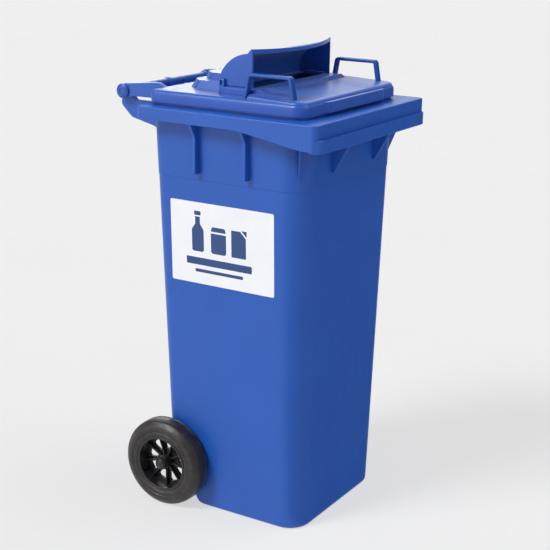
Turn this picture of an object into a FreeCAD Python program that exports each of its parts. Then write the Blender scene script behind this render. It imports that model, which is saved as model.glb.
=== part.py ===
"""A 120 litre two-wheeled bin with a throw-in hood on its lid.

Frame: X across the bin, Y from front (-) to back (+), Z up, in millimetres.
The origin is on the ground, under the middle of the rim.
"""
import FreeCAD, Part
import os
from math import asin, cos, pi, sin, sqrt

from FreeCAD import Vector

# Driving dimensions
RIM_HALF_W = 240.0
RIM_FRONT = -215.0
RIM_BACK = 219.0
RIM_Z = 900.0
RIM_PLATE = 4.0
WALL = 4.0

# Tub walls: half width, front and back at the ground and at TAPER_Z
TAPER_Z = 850.0
BASE_HALF_W, TOP_HALF_W = 176.0, 209.0
BASE_FRONT, TOP_FRONT = -158.0, -169.0
BASE_BACK, TOP_BACK = 177.0, 200.0
BASE_FRONT_R, TOP_FRONT_R = 50.0, 56.0
BASE_BACK_R, TOP_BACK_R = 26.0, 30.0
BASE_EDGE_R = 8.0
BAND_Z = 754.0
BAND_STEP = 0.9

# Step under the back of the tub that the axle lies in
STEP_FRONT = 115.0
STEP_Z = 128.0
STEP_R = 25.0
STEP_INNER_R = 10.0

# Skirt of the rim
SKIRT = 4.0
SKIRT_Z = 873.0
SKIRT_FRONT_Z = 847.0
SKIRT_SLOPE_BACK, SKIRT_SLOPE_FRONT = -32.0, -178.0
RIM_FRONT_R, RIM_BACK_R = 13.0, 16.0
COMB_FRONT = -223.0
COMB_HALF_W = 230.0
COMB_TOP_Z, COMB_BOTTOM_Z = 871.0, 844.0
BEAD = 4.0
BEAD_Z = 918.0

# Fins under the rim
FIN = 7.0
SIDE_FIN_Y = (82.0, -40.0)
SIDE_FIN_OUT = 223.0
SIDE_FIN_BOTTOM_Z = 768.0
FRONT_FIN_X = 90.0
FRONT_FIN_BOTTOM_Z = 781.0
FRONT_FIN_TIP, FRONT_FIN_REACH = 6.0, 45.0
CORNER_FIN = 5.0
CORNER_FIN_X, CORNER_FIN_Y = 190.0, -150.0
CORNER_FIN_ANGLE = 32.0
CORNER_FIN_BOTTOM_Z = 770.0
CORNER_FIN_REACH = 37.0
FLARE_Z = 850.0
FLARE_R = 8.0

# Hinge line and rear handle
HINGE_Y, HINGE_Z = 308.0, 914.0
BAR_R = 11.0
PIN_R = 7.0
RUNNING_GAP = 0.1
BRACKET_EYE_R = 13.0
BRACKET_IN, BRACKET_OUT = 138.0, 150.0
ARM_IN, ARM_OUT = 151.0, 163.0
ARM_EYE_R = 16.0
PIN_HEAD_OUT = 169.5
PIN_DEPTH = 40.0
BRACKET_TOP_Z, BRACKET_FOOT_Z = 895.0, 806.0
BRACKET_CURVE = ((325.0, 884.0, 14.0), (296.0, 857.0, 22.0), (234.0, 843.0, 26.0))
ARM_ROOT_Y = 182.0
ARM_CREST_Y, ARM_CREST_Z = 215.0, 940.0
ARM_BEND_Y, ARM_BEND_R = 284.0, 24.0

# Lid
LID_HALF_W = 206.0
LID_FRONT, LID_BACK = -168.0, 208.0
LID_FRONT_R, LID_BACK_R = 32.0, 14.0
LID_BOTTOM_Z = 905.0
LID_TOP_Z = 931.0
LID_WALL = 3.5
LID_EDGE_R = 5.0
PANEL_HALF_W = 190.0
PANEL_BACK_Z, PANEL_FRONT_Z = 939.5, 934.5
PAD_HALF_W, PAD_BACK, PAD_Z = 172.0, 50.0, 946.0
PAD_FOOT, PAD_FRONT = -53.0, -43.0
HOOD_SEAT_HALF_W, HOOD_SEAT_BACK = 150.0, 64.0
PLATEAU_FRONT = 62.5
PLATEAUS = ((128.0, 158.0, 948.0), (100.0, 146.0, 962.0))
PLATEAU_LEAN, PLATEAU_CUT = 9.0, 24.0
LIP_HALF_W, LIP_FRONT = 118.0, -176.0
LIP_BOTTOM_Z, LIP_TOP_Z = 907.0, 929.0
MOUTH_HALF_W, MOUTH_FRONT, MOUTH_BACK = 146.0, -12.0, 44.0
STOP_Y = (-100.0, 60.0, 160.0)
STOP_LENGTH, STOP_THICK = 14.0, 6.0
STOP_GAP = 0.3

# Hood
HOOD_HALF_W = 161.0
HOOD_FRONT, HOOD_BACK, HOOD_BULGE = -18.0, 62.0, 28.0
HOOD_ARC_Y, HOOD_ARC_Z, HOOD_ARC_R = -12.0, 936.0, 79.5
HOOD_WALL = 3.5
HOOD_LIP_Z, HOOD_LIP_SAG, HOOD_LIP_THICK = 1025.0, 3.5, 4.5
HOOD_FLANGE = 10.0
HOOD_FLANGE_THICK = 3.0
CLIP_THICK = 7.0
CLIP_FRONT, CLIP_BACK, CLIP_Z = 45.0, 58.0, 962.0

# Bow handles on the lid
BOW_X = 181.0
BOW_WIDTH = 16.0
BOW_STRAP = 7.0
BOW_BACK, BOW_FRONT = -23.0, -125.0
BOW_FOOT_BACK, BOW_FOOT_FRONT = -15.0, -133.0
BOW_Z = 981.0
BOW_R = 9.0

# Screws that hold the hood and the bow handles from below: places, and how far the shank goes up
SCREW_R, SCREW_HEAD_R, SCREW_HEAD = 2.0, 4.5, 3.0
HOOD_SCREW_X, HOOD_SCREW_Y = 152.5, (0.0, 30.0)
BOW_SCREWS = ((-19.5, 927.5), (-128.3, 932.2))
BOW_SCREW_REACH = 9.5

# Wheels
AXLE_Y, AXLE_Z = 170.0, 100.0
AXLE_R = 10.0
AXLE_END = 226.0
SADDLE_X = (60.0, 140.0)
SADDLE = 8.0
SADDLE_FRONT, SADDLE_BOTTOM_Z = 120.0, 84.0
SPACER_R = 13.0
WHEEL_R = 100.0
TYRE_IN, TYRE_OUT = 187.0, 229.0
SEAT_R = 64.0
BARREL_R = 58.0
BOSS_R = 15.0
BOSS_IN, BOSS_OUT = 180.0, 221.0
WEB_IN, WEB_OUT = 192.0, 198.0
SPOKES = 9
OPENING_IN_R, OPENING_OUT_R = 22.0, 51.0
OPENING_IN_HALF, OPENING_OUT_HALF = 3.2, 12.5
RIB_HALF, RIB_HIGH = 1.8, 8.0
TYRE_GROOVE = 193.0
CAP_R = 12.0
CAP_OUT = 232.0
RING_R, RING_GROOVE_R = 12.5, 8.8

# Label on the side wall
LABEL_FRONT, LABEL_BACK = -101.0, 155.0
LABEL_BOTTOM_Z, LABEL_TOP_Z = 528.0, 706.0
LABEL = 0.4
LABEL_R = 4.0

X_AXIS = Vector(1, 0, 0)
Z_AXIS = Vector(0, 0, 1)
SIDES = (("left", -1), ("right", 1))


def save(name, shape):
    """Write one node, and say how big it is."""
    shape.exportStep("parts/%s.step" % name)
    box = shape.BoundBox
    print("%-22s solids %d valid %s vol %.0f  x %.1f..%.1f y %.1f..%.1f z %.1f..%.1f" % (
        name, len(shape.Solids), shape.isValid(), shape.Volume,
        box.XMin, box.XMax, box.YMin, box.YMax, box.ZMin, box.ZMax))


def mirrored(shape):
    """The same shape on the other side of the bin's middle plane."""
    return shape.mirror(Vector(0, 0, 0), X_AXIS)


def sided(shape, sign):
    """A shape drawn for the left side (sign -1), or its mirror image for the right."""
    return shape if sign < 0 else mirrored(shape)


def box(x0, x1, y0, y1, z0, z1):
    """A box between two corners."""
    return Part.makeBox(x1 - x0, y1 - y0, z1 - z0, Vector(x0, y0, z0))


def rod(radius, x0, x1, y, z):
    """A round bar along X."""
    return Part.makeCylinder(radius, x1 - x0, Vector(x0, y, z), X_AXIS)


def rounded(points):
    """A closed wire through (point, radius) corners, each rounded by an arc."""
    count = len(points)
    ends = []
    arcs = []
    for i in range(count):
        here, radius = points[i]
        before = (points[i - 1][0] - here).normalize()
        after = (points[(i + 1) % count][0] - here).normalize()
        half = before.getAngle(after) / 2
        if radius <= 0:
            ends.append((here, here))
            arcs.append(None)
            continue
        reach = radius * cos(half) / sin(half)
        start = here + before * reach
        stop = here + after * reach
        toward = (before + after).normalize()
        middle = here + toward * (radius / sin(half) - radius)
        ends.append((start, stop))
        arcs.append(Part.Arc(start, middle, stop).toShape())
    edges = []
    for i in range(count):
        if arcs[i] is not None:
            edges.append(arcs[i])
        start = ends[i][1]
        stop = ends[(i + 1) % count][0]
        if start.distanceToPoint(stop) > 1e-6:
            edges.append(Part.LineSegment(start, stop).toShape())
    return Part.Wire(edges)


def flat(corners, z):
    """A rounded outline at height z from (x, y, radius) corners."""
    return rounded([(Vector(x, y, z), r) for x, y, r in corners])


def slab(corners, z0, z1):
    """A plate with a rounded outline between two heights."""
    return Part.Face(flat(corners, z0)).extrude(Vector(0, 0, z1 - z0))


def across(corners, x0, x1):
    """A plate from a (y, z, radius) outline, between two places along X."""
    wire = rounded([(Vector(x0, y, z), r) for y, z, r in corners])
    return Part.Face(wire).extrude(Vector(x1 - x0, 0, 0))


def along(corners, y0, y1):
    """A plate from an (x, z, radius) outline, between two places along Y."""
    wire = rounded([(Vector(x, y0, z), r) for x, z, r in corners])
    return Part.Face(wire).extrude(Vector(0, y1 - y0, 0))


def turned(profile, y, z):
    """A ring about the X axis through (y, z) from (radius, x, corner) points."""
    wire = rounded([(Vector(x, y + r, z), c) for r, x, c in profile])
    return Part.Face(wire).revolve(Vector(0, y, z), X_AXIS, 360)


# ---------------------------------------------------------------- tub
def tub_corners(z, inset):
    """Outline of the tub wall at height z, moved in by inset."""
    t = z / TAPER_Z
    half = BASE_HALF_W + (TOP_HALF_W - BASE_HALF_W) * t - inset
    front = BASE_FRONT + (TOP_FRONT - BASE_FRONT) * t + inset
    back = BASE_BACK + (TOP_BACK - BASE_BACK) * t - inset
    front_r = BASE_FRONT_R + (TOP_FRONT_R - BASE_FRONT_R) * t - inset
    back_r = BASE_BACK_R + (TOP_BACK_R - BASE_BACK_R) * t - inset
    return [(-half, front, front_r), (half, front, front_r),
            (half, back, back_r), (-half, back, back_r)]


def tub_block(z0, z1, inset):
    """The tapered block between two heights."""
    low = flat(tub_corners(z0, inset), z0)
    high = flat(tub_corners(z1, inset), z1)
    return Part.makeLoft([low, high], True, True)


def step_block(inset):
    """The space of the step under the back, moved into the tub by inset."""
    far = 400.0
    corner = STEP_FRONT - inset
    low_r = STEP_R - inset
    roof = STEP_Z + inset
    high_r = STEP_INNER_R + inset
    # the low arc starts a little under the floor, so that it crosses it
    start = Vector(-far, STEP_FRONT - STEP_R - 3.0, inset - 0.3)
    bend = Vector(-far, corner - low_r * (1 - sin(pi / 4)), STEP_R - low_r * cos(pi / 4))
    low_end = Vector(-far, corner, STEP_R)
    high_start = Vector(-far, corner, roof - high_r)
    high_bend = Vector(-far, corner + high_r * (1 - cos(pi / 4)), roof - high_r * (1 - sin(pi / 4)))
    high_end = Vector(-far, corner + high_r, roof)
    back_top = Vector(-far, far, roof)
    back_low = Vector(-far, far, -50.0)
    front_low = Vector(-far, start.y, -50.0)
    edges = [
        Part.Arc(start, bend, low_end).toShape(),
        Part.LineSegment(low_end, high_start).toShape(),
        Part.Arc(high_start, high_bend, high_end).toShape(),
        Part.LineSegment(high_end, back_top).toShape(),
        Part.LineSegment(back_top, back_low).toShape(),
        Part.LineSegment(back_low, front_low).toShape(),
        Part.LineSegment(front_low, start).toShape(),
    ]
    return Part.Face(Part.Wire(edges)).extrude(Vector(2 * far, 0, 0))


def rim_corners(inset):
    """Outline of the rim, moved in by inset."""
    half = RIM_HALF_W - inset
    front_r = max(RIM_FRONT_R - inset, 2.0)
    back_r = RIM_BACK_R - inset
    return [(-half, RIM_FRONT + inset, front_r), (half, RIM_FRONT + inset, front_r),
            (half, RIM_BACK - inset, back_r), (-half, RIM_BACK - inset, back_r)]


def lid_corners(inset):
    """Outline of the lid, moved in by inset."""
    half = LID_HALF_W - inset
    front = LID_FRONT + inset
    back = LID_BACK - inset
    front_r = LID_FRONT_R - inset
    back_r = LID_BACK_R - inset
    return [(-half, front, front_r), (half, front, front_r), (half, back, back_r), (-half, back, back_r)]


def rim():
    """The rim plate, its skirt, the comb pocket at the front and the inner bead."""
    whole = slab(rim_corners(0), COMB_BOTTOM_Z, RIM_Z)
    hollow = slab(rim_corners(SKIRT), COMB_BOTTOM_Z - 1, RIM_Z - RIM_PLATE)
    skirt = whole.cut(hollow)
    below = across([
        (RIM_FRONT - 20, COMB_BOTTOM_Z - 20, 0), (RIM_FRONT - 20, SKIRT_FRONT_Z, 0),
        (SKIRT_SLOPE_FRONT, SKIRT_FRONT_Z + 2, 60), (SKIRT_SLOPE_BACK, SKIRT_Z, 60),
        (RIM_BACK + 20, SKIRT_Z, 0), (RIM_BACK + 20, COMB_BOTTOM_Z - 20, 0),
    ], -RIM_HALF_W - 10, RIM_HALF_W + 10)
    skirt = skirt.cut(below)

    inner_half = COMB_HALF_W - SKIRT
    inner_front = RIM_FRONT + SKIRT
    comb = slab([(-COMB_HALF_W, COMB_FRONT, 9), (COMB_HALF_W, COMB_FRONT, 9),
                 (COMB_HALF_W, inner_front, 0), (-COMB_HALF_W, inner_front, 0)],
                COMB_BOTTOM_Z, COMB_TOP_Z)
    pocket = slab([(-inner_half, COMB_FRONT + SKIRT, 5), (inner_half, COMB_FRONT + SKIRT, 5),
                   (inner_half, inner_front + 1, 0), (-inner_half, inner_front + 1, 0)],
                  COMB_BOTTOM_Z - 1, COMB_TOP_Z - SKIRT)
    comb = comb.cut(pocket)
    skirt = skirt.cut(pocket)

    bead = slab(lid_corners(6.0), RIM_Z - RIM_PLATE, BEAD_Z)
    return skirt.fuse([comb, bead])


def side_fin(y):
    """A fin on the left wall, flared out under the rim."""
    tip = -RIM_HALF_W + 2
    out = -SIDE_FIN_OUT
    low = SIDE_FIN_BOTTOM_Z
    return along([
        (tip, RIM_Z - 2, 0), (tip, SKIRT_Z - 2, 4), (out, FLARE_Z - 4, 12), (out, low, 4),
        (-150, low, 0), (-150, RIM_Z - 2, 0),
    ], y - FIN / 2, y + FIN / 2)


def front_fin(x):
    """A three-cornered fin under the front of the rim."""
    wall = TOP_FRONT + 2
    tip = TOP_FRONT - FRONT_FIN_REACH
    return across([
        (wall + 16, RIM_Z - 2, 0), (wall + 16, FRONT_FIN_BOTTOM_Z, 0),
        (TOP_FRONT - FRONT_FIN_TIP, FRONT_FIN_BOTTOM_Z, 2), (tip, FLARE_Z, FLARE_R), (tip, RIM_Z - 2, 0),
    ], x - FIN / 2, x + FIN / 2)


def corner_fin():
    """The three-cornered fin that stands out diagonally from the left front corner."""
    fin = along([
        (20, RIM_Z - 2, 0), (20, CORNER_FIN_BOTTOM_Z, 0), (0, CORNER_FIN_BOTTOM_Z, 0),
        (-CORNER_FIN_REACH, FLARE_Z, FLARE_R), (-CORNER_FIN_REACH, RIM_Z - 2, 0),
    ], -CORNER_FIN / 2, CORNER_FIN / 2)
    fin.rotate(Vector(0, 0, 0), Z_AXIS, CORNER_FIN_ANGLE)
    fin.translate(Vector(-CORNER_FIN_X, CORNER_FIN_Y, 0))
    return fin


def bracket(x0, x1):
    """A plate behind the rim that holds the handle bar, with a curved underside."""
    root = TOP_BACK - 10
    corners = [
        (root, BRACKET_TOP_Z, 0), (HINGE_Y - 22, BRACKET_TOP_Z, 8), (HINGE_Y - 10, HINGE_Z, 0),
        (HINGE_Y + 10, HINGE_Z, 0),
    ]
    plate = across(corners + list(BRACKET_CURVE) + [(root, BRACKET_FOOT_Z, 0)], x0, x1)
    eye = rod(BRACKET_EYE_R, x0, x1, HINGE_Y, HINGE_Z)
    return plate.fuse(eye)


def saddle(x):
    """A plate under the step's roof, with a hole for the axle."""
    roof = STEP_Z + 1
    back = AXLE_Y + 14
    plate = across([
        (SADDLE_FRONT, roof, 0), (SADDLE_FRONT, STEP_Z - 14, 4), (AXLE_Y - 18, SADDLE_BOTTOM_Z, 8),
        (back, SADDLE_BOTTOM_Z, 8), (back, roof, 0),
    ], x, x + SADDLE)
    return plate.cut(rod(AXLE_R, x - 1, x + SADDLE + 1, AXLE_Y, AXLE_Z))


def bin_body():
    """The tub with everything moulded on it."""
    outer = tub_block(0, RIM_Z - 1, 0)
    floor_edges = [e for e in outer.Edges if e.BoundBox.ZMax < 0.01]
    outer = outer.makeFillet(BASE_EDGE_R, floor_edges)
    band = tub_block(BAND_Z, RIM_Z - 1, -BAND_STEP)
    solid = outer.fuse([band, rim()])
    fins = []
    for y in SIDE_FIN_Y:
        fin = side_fin(y)
        fins += [fin, mirrored(fin)]
    fins += [front_fin(-FRONT_FIN_X), front_fin(FRONT_FIN_X), corner_fin(), mirrored(corner_fin())]
    solid = solid.fuse(fins)
    hollow = tub_block(WALL, RIM_Z + 1, WALL).cut(step_block(WALL))
    throat = slab(lid_corners(6.0 + BEAD), RIM_Z - 30, BEAD_Z + 1)
    hollow = hollow.common(box(-300, 300, -300, 300, 0, RIM_Z - RIM_PLATE))
    solid = solid.cut([step_block(0), hollow, throat])
    brackets = [bracket(BRACKET_IN, BRACKET_OUT), bracket(-BRACKET_OUT, -BRACKET_IN), bracket(-6, 6)]
    inside = box(-300, 300, 0, TOP_BACK - 2.5, 0, RIM_Z)
    brackets = [b.cut(inside) for b in brackets]
    saddles = []
    for x in SADDLE_X:
        saddles += [saddle(x), saddle(-x - SADDLE)]
    solid = solid.fuse(brackets + saddles)
    bore = rod(BAR_R, -BRACKET_OUT - 1, BRACKET_OUT + 1, HINGE_Y, HINGE_Z)
    return solid.cut(bore).removeSplitter()


def rear_handle_bar():
    """The tube between the brackets, bored at its ends for the hinge pins."""
    bar = rod(BAR_R, -BRACKET_OUT, BRACKET_OUT, HINGE_Y, HINGE_Z)
    bore = rod(PIN_R, BRACKET_OUT - PIN_DEPTH, BRACKET_OUT + 1, HINGE_Y, HINGE_Z)
    return bar.cut([bore, mirrored(bore)])


def hinge_pin():
    """The left hinge pin: a shank and a domed head outside the lid's arm."""
    return turned([
        (0, -PIN_HEAD_OUT, 0), (9, -PIN_HEAD_OUT, 5), (ARM_EYE_R, -PIN_HEAD_OUT + 3, 2),
        (ARM_EYE_R, -ARM_OUT - 0.5, 0), (PIN_R, -ARM_OUT - 0.5, 0),
        (PIN_R, -BRACKET_OUT + PIN_DEPTH - 1, 2), (0, -BRACKET_OUT + PIN_DEPTH - 1, 0),
    ], HINGE_Y, HINGE_Z)


# ---------------------------------------------------------------- lid
def lid_skin(inset):
    """The outside of the lid (inset 0), or the space inside its skin."""
    low = LID_BOTTOM_Z if inset == 0 else LID_BOTTOM_Z - 1
    cover = slab(lid_corners(inset), low, LID_TOP_Z - inset)
    if inset == 0:
        top_edges = [e for e in cover.Edges if e.BoundBox.ZMin > LID_TOP_Z - 0.01]
        cover = cover.makeFillet(LID_EDGE_R, top_edges)
    raised_front = across([
        (LID_FRONT + inset, low, 0), (LID_FRONT + inset, PANEL_FRONT_Z - inset, 4),
        (PAD_FRONT + 10, PANEL_BACK_Z - inset, 0), (PAD_FRONT + 10, low, 0),
    ], -PANEL_HALF_W + inset, PANEL_HALF_W - inset)
    raised_front = raised_front.common(slab(lid_corners(inset), low, PAD_Z))
    pad = across([
        (PAD_FOOT + inset, low, 0), (PAD_FOOT + inset, PANEL_BACK_Z - 1 - inset, 0),
        (PAD_FRONT + inset, PAD_Z - inset, 0), (PAD_BACK - inset, PAD_Z - inset, 0), (PAD_BACK - inset, low, 0),
    ], -PAD_HALF_W + inset, PAD_HALF_W - inset)
    if inset == 0:
        pad_edges = [e for e in pad.Edges if e.BoundBox.ZMin > PAD_Z - 0.01]
        pad = pad.makeFillet(2.5, pad_edges)
    seat = box(-HOOD_SEAT_HALF_W + inset, HOOD_SEAT_HALF_W - inset, PAD_BACK - 10, HOOD_SEAT_BACK - inset,
               low, PAD_Z - inset)
    steps = [plateau(half, back, top, inset) for half, back, top in PLATEAUS]
    return cover.fuse([raised_front, pad, seat] + steps)


def plateau(half, back, top, inset):
    """A raised step behind the hood, with leaning walls and its back corners cut off."""
    half -= inset
    back -= inset
    front = PLATEAU_FRONT + inset
    cut = PLATEAU_CUT
    wires = []
    for z, grow in ((LID_TOP_Z - 5, PLATEAU_LEAN), (top - inset, 0.0)):
        wires.append(flat([
            (-half - grow, front, 0), (half + grow, front, 0), (half + grow, back - cut + grow, 12),
            (half - cut + grow, back + grow, 12), (-half + cut - grow, back + grow, 12),
            (-half - grow, back - cut + grow, 12),
        ], z))
    return Part.makeLoft(wires, True, True)


def lid_arm(x0, x1):
    """An arm from the back of the lid to the hinge line, clear of the tub's bead."""
    over_bead = BEAD_Z + 4
    plate = across([
        (ARM_ROOT_Y, LID_TOP_Z - 2, 0), (ARM_CREST_Y, ARM_CREST_Z, 10), (HINGE_Y, HINGE_Z + ARM_EYE_R, 0),
        (HINGE_Y, HINGE_Z - ARM_EYE_R, 0), (ARM_BEND_Y, LID_BOTTOM_Z, ARM_BEND_R),
        (LID_BACK - 2, LID_BOTTOM_Z, 0), (LID_BACK - 2, over_bead, 0), (ARM_ROOT_Y, over_bead, 0),
    ], x0, x1)
    eye = rod(ARM_EYE_R, x0, x1, HINGE_Y, HINGE_Z)
    return plate.fuse(eye)


def lid_stop(y):
    """A block under the lid's left edge that comes down over the tub's bead."""
    x = -LID_HALF_W + 5.0
    return box(x, x + STOP_THICK, y, y + STOP_LENGTH, BEAD_Z + STOP_GAP, LID_TOP_Z - 2)


def lid():
    """The lid: skin, front grip lip, hinge arms and the stops that rest on the bead."""
    skin = lid_skin(0)
    lip = slab([(-LIP_HALF_W, LIP_FRONT, 7), (LIP_HALF_W, LIP_FRONT, 7),
                (LIP_HALF_W, LID_FRONT + 3, 0), (-LIP_HALF_W, LID_FRONT + 3, 0)],
               LIP_BOTTOM_Z, LIP_TOP_Z)
    lip = lip.makeFillet(3, [e for e in lip.Edges if e.BoundBox.ZMin > LIP_TOP_Z - 0.01
                             and e.BoundBox.YMax < LID_FRONT - 0.5])
    solid = skin.fuse(lip)
    solid = solid.cut(lid_skin(LID_WALL))
    solid = solid.fuse([lid_arm(ARM_IN, ARM_OUT), lid_arm(-ARM_OUT, -ARM_IN)])
    mouth = box(-MOUTH_HALF_W, MOUTH_HALF_W, MOUTH_FRONT, MOUTH_BACK, LID_BOTTOM_Z - 5, PAD_Z + 1)
    bores = rod(PIN_R + RUNNING_GAP, -ARM_OUT - 1, ARM_OUT + 1, HINGE_Y, HINGE_Z)
    holes = [shank(*place) for place in hood_screw_places() + handle_screw_places()]
    solid = solid.cut([mouth, bores] + holes)
    stops = []
    for y in STOP_Y:
        stop = lid_stop(y)
        stops += [stop, mirrored(stop)]
    return solid.fuse(stops).removeSplitter()


# ---------------------------------------------------------------- hood
def hood_plan(shift):
    """A prism over the hood's plan: straight sides and back, bulging front, moved back by shift."""
    half = HOOD_HALF_W
    front = HOOD_FRONT + shift
    back = HOOD_BACK + shift
    low = PAD_Z - 20
    left = Vector(-half, front, low)
    right = Vector(half, front, low)
    middle = Vector(0, front - HOOD_BULGE, low)
    right_back = Vector(half, back, low)
    left_back = Vector(-half, back, low)
    edges = [
        Part.Arc(left, middle, right).toShape(),
        Part.LineSegment(right, right_back).toShape(),
        Part.LineSegment(right_back, left_back).toShape(),
        Part.LineSegment(left_back, left).toShape(),
    ]
    return Part.Face(Part.Wire(edges)).extrude(Vector(0, 0, 200))


def hood_form(inset):
    """The hood's quarter-round form, longer than the hood in front, moved in by inset."""
    radius = HOOD_ARC_R - inset
    x = -HOOD_HALF_W + inset
    front = -70.0
    low = PAD_Z
    high = HOOD_ARC_Z + radius
    back_y = HOOD_ARC_Y + sqrt(radius ** 2 - (low - HOOD_ARC_Z) ** 2)
    angle = asin((low - HOOD_ARC_Z) / radius) / 2 + pi / 4
    top = Vector(x, HOOD_ARC_Y, high)
    middle = Vector(x, HOOD_ARC_Y + radius * cos(angle), HOOD_ARC_Z + radius * sin(angle))
    back = Vector(x, back_y, low)
    side = Part.Face(Part.Wire([
        Part.LineSegment(Vector(x, front, low), Vector(x, front, high)).toShape(),
        Part.LineSegment(Vector(x, front, high), top).toShape(),
        Part.Arc(top, middle, back).toShape(),
        Part.LineSegment(back, Vector(x, front, low)).toShape(),
    ]))
    form = side.extrude(Vector(-2 * x, 0, 0))
    return form.common(box(x, -x, front, HOOD_BACK - inset, low, high))


def hood_lip():
    """The lip that stands up along the hood's bulging front edge, its top sagging in the middle."""
    low = HOOD_ARC_Z + HOOD_ARC_R - HOOD_WALL
    edge = hood_plan(0).cut(hood_plan(HOOD_LIP_THICK))
    lip = edge.common(box(-HOOD_HALF_W, HOOD_HALF_W, -80, 0, low, HOOD_LIP_Z))
    radius = (HOOD_HALF_W ** 2 + HOOD_LIP_SAG ** 2) / (2 * HOOD_LIP_SAG)
    hollow_z = HOOD_LIP_Z - HOOD_LIP_SAG + radius
    return lip.cut(Part.makeCylinder(radius, 100, Vector(0, -90, hollow_z), Vector(0, 1, 0)))


def throw_in_hood():
    """The hood: a quarter-round shell, open in front, with a standing lip and side flanges."""
    block = hood_form(0).common(hood_plan(0))
    shell = block.cut(hood_form(HOOD_WALL))
    flange = box(-HOOD_HALF_W + 1, -HOOD_HALF_W + HOOD_WALL + HOOD_FLANGE, -8, 40,
                 PAD_Z, PAD_Z + HOOD_FLANGE_THICK)
    solid = shell.fuse([hood_lip(), flange, mirrored(flange)])
    return solid.cut([shank(*place) for place in hood_screw_places()]).removeSplitter()


def hood_clip():
    """The left clip behind the hood, standing beside its bottom back corner."""
    clip = box(-HOOD_HALF_W - CLIP_THICK, -HOOD_HALF_W - 0.2, CLIP_FRONT, CLIP_BACK, LID_TOP_Z, CLIP_Z)
    return clip.cut(box(-PAD_HALF_W, -HOOD_HALF_W, CLIP_FRONT - 6, PAD_BACK, LID_TOP_Z - 1, PAD_Z))


# ---------------------------------------------------------------- screws
def shank(x, y, z, reach):
    """A screw's shank, going up from z."""
    return Part.makeCylinder(SCREW_R, reach, Vector(x, y, z), Z_AXIS)


def screw(x, y, z, reach):
    """A slotted pan-head screw with its head just under z."""
    head = Part.makeCylinder(SCREW_HEAD_R, SCREW_HEAD, Vector(x, y, z - SCREW_HEAD), Z_AXIS)
    slot = box(x - 3.2, x + 3.2, y - 0.5, y + 0.5, z - SCREW_HEAD, z - SCREW_HEAD + 1.2)
    return head.fuse(shank(x, y, z, reach)).cut(slot)


def hood_screw_places():
    """Where the four screws of the hood's flanges go through the lid's pad."""
    low = PAD_Z - LID_WALL
    reach = LID_WALL + HOOD_FLANGE_THICK
    return [(x, y, low, reach) for x in (-HOOD_SCREW_X, HOOD_SCREW_X) for y in HOOD_SCREW_Y]


def handle_screw_places():
    """Where the four screws of the bow handles' feet go through the lid."""
    return [(x, y, z, BOW_SCREW_REACH) for x in (-BOW_X, BOW_X) for y, z in BOW_SCREWS]


def screw_group(places):
    """Identical screws as separate solids."""
    return Part.makeCompound([screw(*place) for place in places])


# ---------------------------------------------------------------- bow handles
def bow_handle():
    """The left bow handle: a flat strap bent over two splayed legs."""
    outer = [
        (BOW_FOOT_BACK, LID_TOP_Z, 0), (BOW_BACK, BOW_Z, BOW_R),
        (BOW_FRONT, BOW_Z, BOW_R), (BOW_FOOT_FRONT, LID_TOP_Z, 0),
    ]
    t = BOW_STRAP
    inner = [
        (BOW_FOOT_BACK - t - 1, LID_TOP_Z - 1, 0), (BOW_BACK - t, BOW_Z - t, BOW_R - 5),
        (BOW_FRONT + t, BOW_Z - t, BOW_R - 5), (BOW_FOOT_FRONT + t + 1, LID_TOP_Z - 1, 0),
    ]
    x0 = -BOW_X - BOW_WIDTH / 2
    x1 = -BOW_X + BOW_WIDTH / 2
    strap = across(outer, x0, x1).cut(across(inner, x0 - 1, x1 + 1))
    holes = [shank(*place) for place in handle_screw_places()]
    return strap.cut([lid_skin(0)] + holes)


# ---------------------------------------------------------------- wheels
def axle():
    """The steel axle, grooved near its ends for the retaining rings."""
    bar = rod(AXLE_R, -AXLE_END, AXLE_END, AXLE_Y, AXLE_Z)
    groove = rod(AXLE_R + 1, BOSS_OUT + 0.8, BOSS_OUT + 2.4, AXLE_Y, AXLE_Z)
    groove = groove.cut(rod(RING_GROOVE_R, BOSS_OUT, BOSS_OUT + 4, AXLE_Y, AXLE_Z))
    bar = bar.cut([groove, mirrored(groove)])
    ends = [e for e in bar.Edges if e.BoundBox.XMin > AXLE_END - 0.01 or e.BoundBox.XMax < -AXLE_END + 0.01]
    return bar.makeChamfer(1.0, ends)


def retaining_ring():
    """The left ring, open at the bottom, in the axle's groove."""
    ring = rod(RING_R, -BOSS_OUT - 2.2, -BOSS_OUT - 1.0, AXLE_Y, AXLE_Z)
    ring = ring.cut(rod(RING_GROOVE_R, -TYRE_OUT, -BOSS_IN, AXLE_Y, AXLE_Z))
    return ring.cut(box(-TYRE_OUT, -BOSS_IN, AXLE_Y - 4, AXLE_Y + 4, AXLE_Z - 20, AXLE_Z))


def axle_spacer():
    """The left sleeve between the outer saddle and the hub."""
    inner = SADDLE_X[1] + SADDLE
    tube = rod(SPACER_R, -BOSS_IN + 0.3, -inner, AXLE_Y, AXLE_Z)
    return tube.cut(rod(AXLE_R, -TYRE_OUT, -SADDLE_X[1], AXLE_Y, AXLE_Z))


def teardrop():
    """One opening of the hub's web, pointing up from the axle."""
    return across([
        (AXLE_Y - OPENING_IN_HALF, AXLE_Z + OPENING_IN_R, 2.5),
        (AXLE_Y + OPENING_IN_HALF, AXLE_Z + OPENING_IN_R, 2.5),
        (AXLE_Y + OPENING_OUT_HALF, AXLE_Z + OPENING_OUT_R, 5.5),
        (AXLE_Y - OPENING_OUT_HALF, AXLE_Z + OPENING_OUT_R, 5.5),
    ], -TYRE_OUT, -BOSS_IN)


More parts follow.
